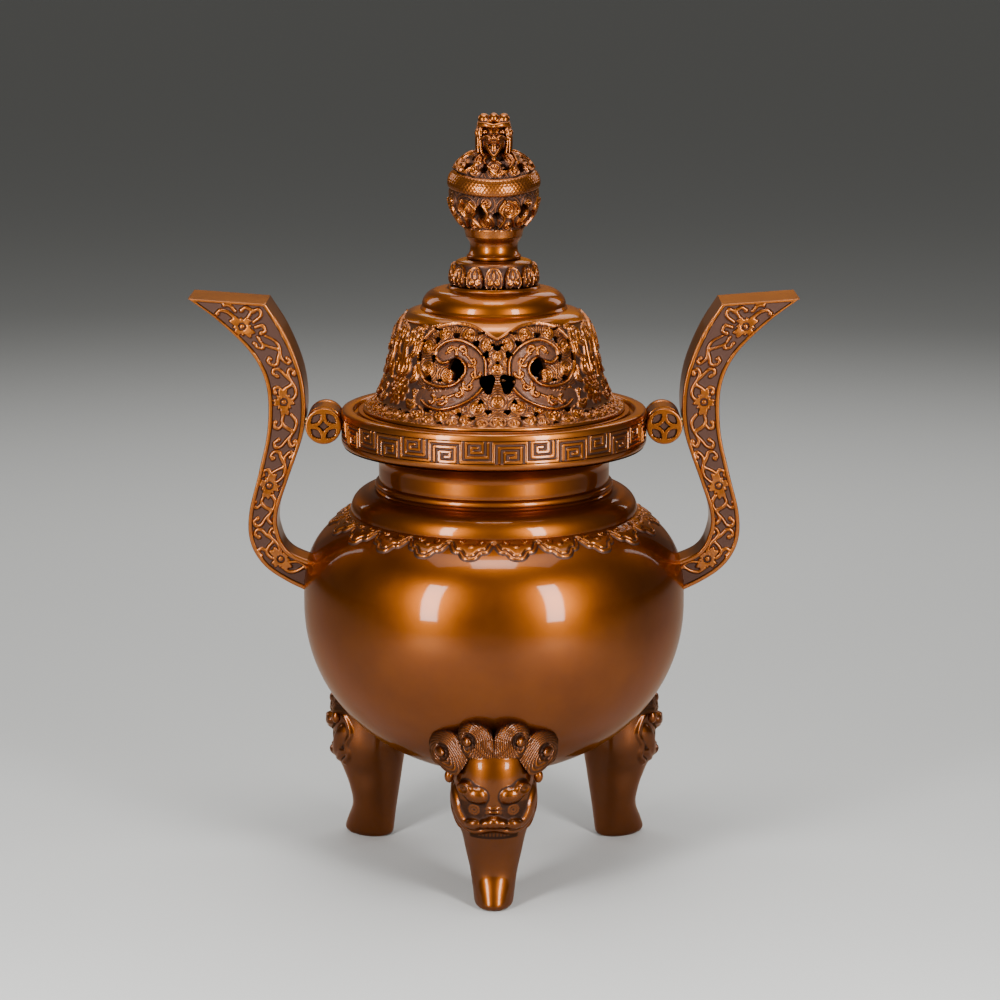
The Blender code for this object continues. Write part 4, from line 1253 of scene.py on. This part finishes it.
def cavity_tone(item, rounds, low, high, keep=False):
    """Tone of a sculpted mesh: 0 where it lies low mm or less above its smoothed self, 1 from high
    mm up. Keep multiplies it into the tone that the mesh has."""
    mesh = item.data
    count = len(mesh.vertices)
    place = np.empty(count * 3)
    mesh.vertices.foreach_get("co", place)
    place = place.reshape(-1, 3) / MM
    edges = np.empty(len(mesh.edges) * 2, np.int32)
    mesh.edges.foreach_get("vertices", edges)
    a, b = edges.reshape(-1, 2).T
    degree = np.maximum(np.bincount(np.concatenate([a, b]), minlength=count), 1)
    smooth = place.copy()
    for _ in range(rounds):
        total = [np.bincount(a, smooth[b, k], count) + np.bincount(b, smooth[a, k], count)
                 for k in range(3)]
        smooth = 0.4 * smooth + 0.6 * np.stack(total, -1) / degree[:, None]
    normal = np.empty(count * 3)
    mesh.vertices.foreach_get("normal", normal)
    lift = ((place - smooth) * normal.reshape(-1, 3)).sum(axis=1)
    shade = ramp(lift, low, high)
    if keep:
        old = np.empty(count, np.float32)
        mesh.attributes["tone"].data.foreach_get("value", old)
        shade = shade * old
    else:
        mesh.attributes.new("tone", "FLOAT", "POINT")
    mesh.attributes["tone"].data.foreach_set("value", shade.astype(np.float32))


def head_lumps():
    """(centre, radii) of the balls that make the head: skull, face, beard and combed mane."""
    lumps = [((0.0, -1.0, 482.0), (10.2, 12.0, 11.2)), ((0.0, 8.0, 478.5), (9.0, 9.0, 10.0)),
             ((0.0, -15.0, 479.6), (5.6, 5.6, 3.2)), ((0.0, -18.4, 474.6), (2.2, 1.8, 4.0)),
             ((0.0, -20.6, 481.6), (1.9, 1.5, 1.6)), ((0.0, -21.6, 468.2), (1.6, 1.5, 1.6))]
    for side in (-1, 1):
        lumps += lock((side * 8.6, -10.0, 489.0), (side * 1.0, -13.4, 488.4), 2.1, 1.8, (0, -0.8, 0.4))
        lumps += lock((side * 5.0, -14.6, 479.4), (0.0, -21.4, 469.6), 1.3, 1.0, (side * 1.1, 0, 0))
        lumps += lock((side * 3.0, -19.0, 481.4), (side * 7.4, -13.0, 480.0), 1.5, 1.0, (0, -1, 1.2))
        lumps += [((side * 5.4, -12.6, 484.6), (2.1, 1.7, 1.7)),
                  ((side * 6.4, -7.6, 492.6), (3.8, 3.8, 3.6)),
                  ((side * 2.4, -19.8, 480.8), (1.8, 1.6, 1.5)),
                  ((side * 10.6, -10.0, 484.0), (1.7, 1.9, 2.6))]
        for number, (y, reach) in enumerate(MANE_LOCKS):
            lumps += lock((side * (reach - 1.6), y, 491.0 - number), (side * reach, y - 1.0, 471.6),
                          1.9, 1.4, (side * 0.8, 0.0, 0.0))
        lumps += lock((side * 8.2, -10.0, 488.0), (side * 7.4, -12.6, 471.0), 1.6, 1.2, (side * 0.8, 0, 0))
        lumps += lock((side * 5.0, 12.0, 490.0), (side * 6.4, 15.4, 471.0), 2.2, 1.6)
    lumps += [((0.0, -8.6, 493.2), (3.4, 3.6, 3.4)), ((0.0, 2.0, 490.6), (5.0, 9.0, 3.6)),
              ((0.0, -7.0, 491.4), (9.4, 4.4, 3.0)), ((0.0, -8.0, 478.0), (8.6, 7.0, 8.0)),
              ((0.0, 1.0, 486.4), (9.4, 10.6, 5.6)), ((0.0, 1.4, 476.0), (9.6, 11.4, 7.0))]
    return lumps + lock((0.0, 12.0, 489.0), (0.0, 15.6, 471.0), 2.2, 1.8)


def make_head():
    """The creature that looks out over the knob, joined into one smooth skin."""
    whole = bmesh.new()
    for centre, radii in head_lumps():
        piece = blob(centre, radii)
        lump = bpy.data.meshes.new("lump")
        piece.to_mesh(lump)
        piece.free()
        whole.from_mesh(lump)
        bpy.data.meshes.remove(lump)
    mesh = bpy.data.meshes.new("creature_head")
    whole.to_mesh(mesh)
    whole.free()
    item = new_object("creature_head", mesh)
    join = item.modifiers.new("join", "REMESH")
    join.mode = "VOXEL"
    join.voxel_size = 0.00034
    soften = item.modifiers.new("soften", "SMOOTH")
    soften.iterations = 4
    bpy.context.view_layer.update()
    skin = item.evaluated_get(bpy.context.evaluated_depsgraph_get())
    joined = bpy.data.meshes.new_from_object(skin)
    item.modifiers.clear()
    item.data = joined
    cavity_tone(item, 14, -0.16, 0.10)
    finish_piece(item, "lid", CARVED, ["dragon_head"], 60.0)


# ---------------------------------------------------------------- stage

FLOOR_REACH = 20000.0          # mm from the middle to the floor's edges
FLOOR_Z = -0.2
CAMERA_PLACE = (0.00394, -1.92676, 0.64393)
CAMERA_TILT = 11.75            # degrees that it looks down
# Name, place, aim and size in m, and power
LIGHTS = (("strip_left", (-0.47, -0.66, 0.40), (0.0, -0.1, 0.18), (0.15, 0.60), 11.5),
          ("strip_right", (0.44, -0.66, 0.40), (0.0, -0.1, 0.18), (0.15, 0.60), 11.5),
          ("overhead", (0.0, -0.30, 1.45), (0.0, 0.0, 0.30), (0.42, 0.34), 7.0),
          ("ceiling", (0.0, 0.35, 1.6), (0.0, 0.35, 0.0), (1.3, 1.5), 20.0),
          ("side_left", (-1.3, 1.1, 1.0), (0.0, 0.0, 0.25), (0.5, 0.9), 7.0),
          ("side_right", (1.3, 1.1, 1.0), (0.0, 0.0, 0.25), (0.5, 0.9), 7.0),
          ("behind", (0.2, 1.6, 1.3), (0.0, 0.0, 0.25), (1.2, 0.6), 8.0))


def area_light(name, place, target, size, power):
    """A white rectangular light that the camera doesn't see."""
    data = bpy.data.lights.new(name, "AREA")
    data.shape = "RECTANGLE"
    data.size, data.size_y = size
    data.energy = power
    lamp = new_object(name, data)
    lamp.location = place
    aim = Vector(target) - Vector(place)
    lamp.rotation_euler = aim.to_track_quat("-Z", "Y").to_euler()
    lamp.visible_camera = False


def make_stage():
    """A wide grey floor, dim even light from all round, and the area lights."""
    ends = np.array([-FLOOR_REACH, FLOOR_REACH])
    x, y = np.meshgrid(ends, ends)
    floor = grid_object("floor", np.stack([x, y, np.full(x.shape, FLOOR_Z)], -1))
    look = bpy.data.materials.new("floor")
    look.use_nodes = True
    feed(look, look.node_tree.nodes["Principled BSDF"],
         {"Base Color": (0.40, 0.40, 0.388, 1.0), "Roughness": 0.85})
    floor.data.materials.append(look)
    world = bpy.data.worlds.new("studio")
    bpy.context.scene.world = world
    world.use_nodes = True
    feed(world, world.node_tree.nodes["Background"],
         {"Color": (0.60, 0.60, 0.58, 1.0), "Strength": 0.26})
    for light in LIGHTS:
        area_light(*light)


def make_camera():
    """A long lens in front of the burner, looking down a little, a hair to the right of the axis."""
    data = bpy.data.cameras.new("camera")
    data.sensor_width = 36.0
    data.lens = 108.0
    camera = new_object("camera", data)
    camera.location = CAMERA_PLACE
    camera.rotation_euler = (math.radians(90.0 - CAMERA_TILT), 0.0, 0.0)
    bpy.context.scene.camera = camera


def dress_cad_nodes():
    """Nodes that stay as they are: the fasteners inside the bowl and under the crown."""
    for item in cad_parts.values():
        if item.hide_render:
            continue
        item.data.materials.clear()
        item.data.materials.append(BRASS)


make_camera()
make_stage()
make_belly()
make_cloud_collar()
make_neck()
make_rim()
make_lid_flange()
make_dome()
make_crown()
make_collar()
make_stem()
make_bead()
make_head()
for handle_name, handle_side in (("left", -1), ("right", 1)):
    make_handle(handle_name, handle_side)
    make_coin(handle_name, handle_side)
for leg_place, leg_turn in (("front", 0.0), ("rear_left", -120.0), ("rear_right", 120.0)):
    spin = np.array(Matrix.Rotation(math.radians(leg_turn), 3, "Z"))
    make_leg(leg_place, spin)
    make_mane(leg_place, spin)
    make_bead_drops(leg_place, spin)
dress_cad_nodes()
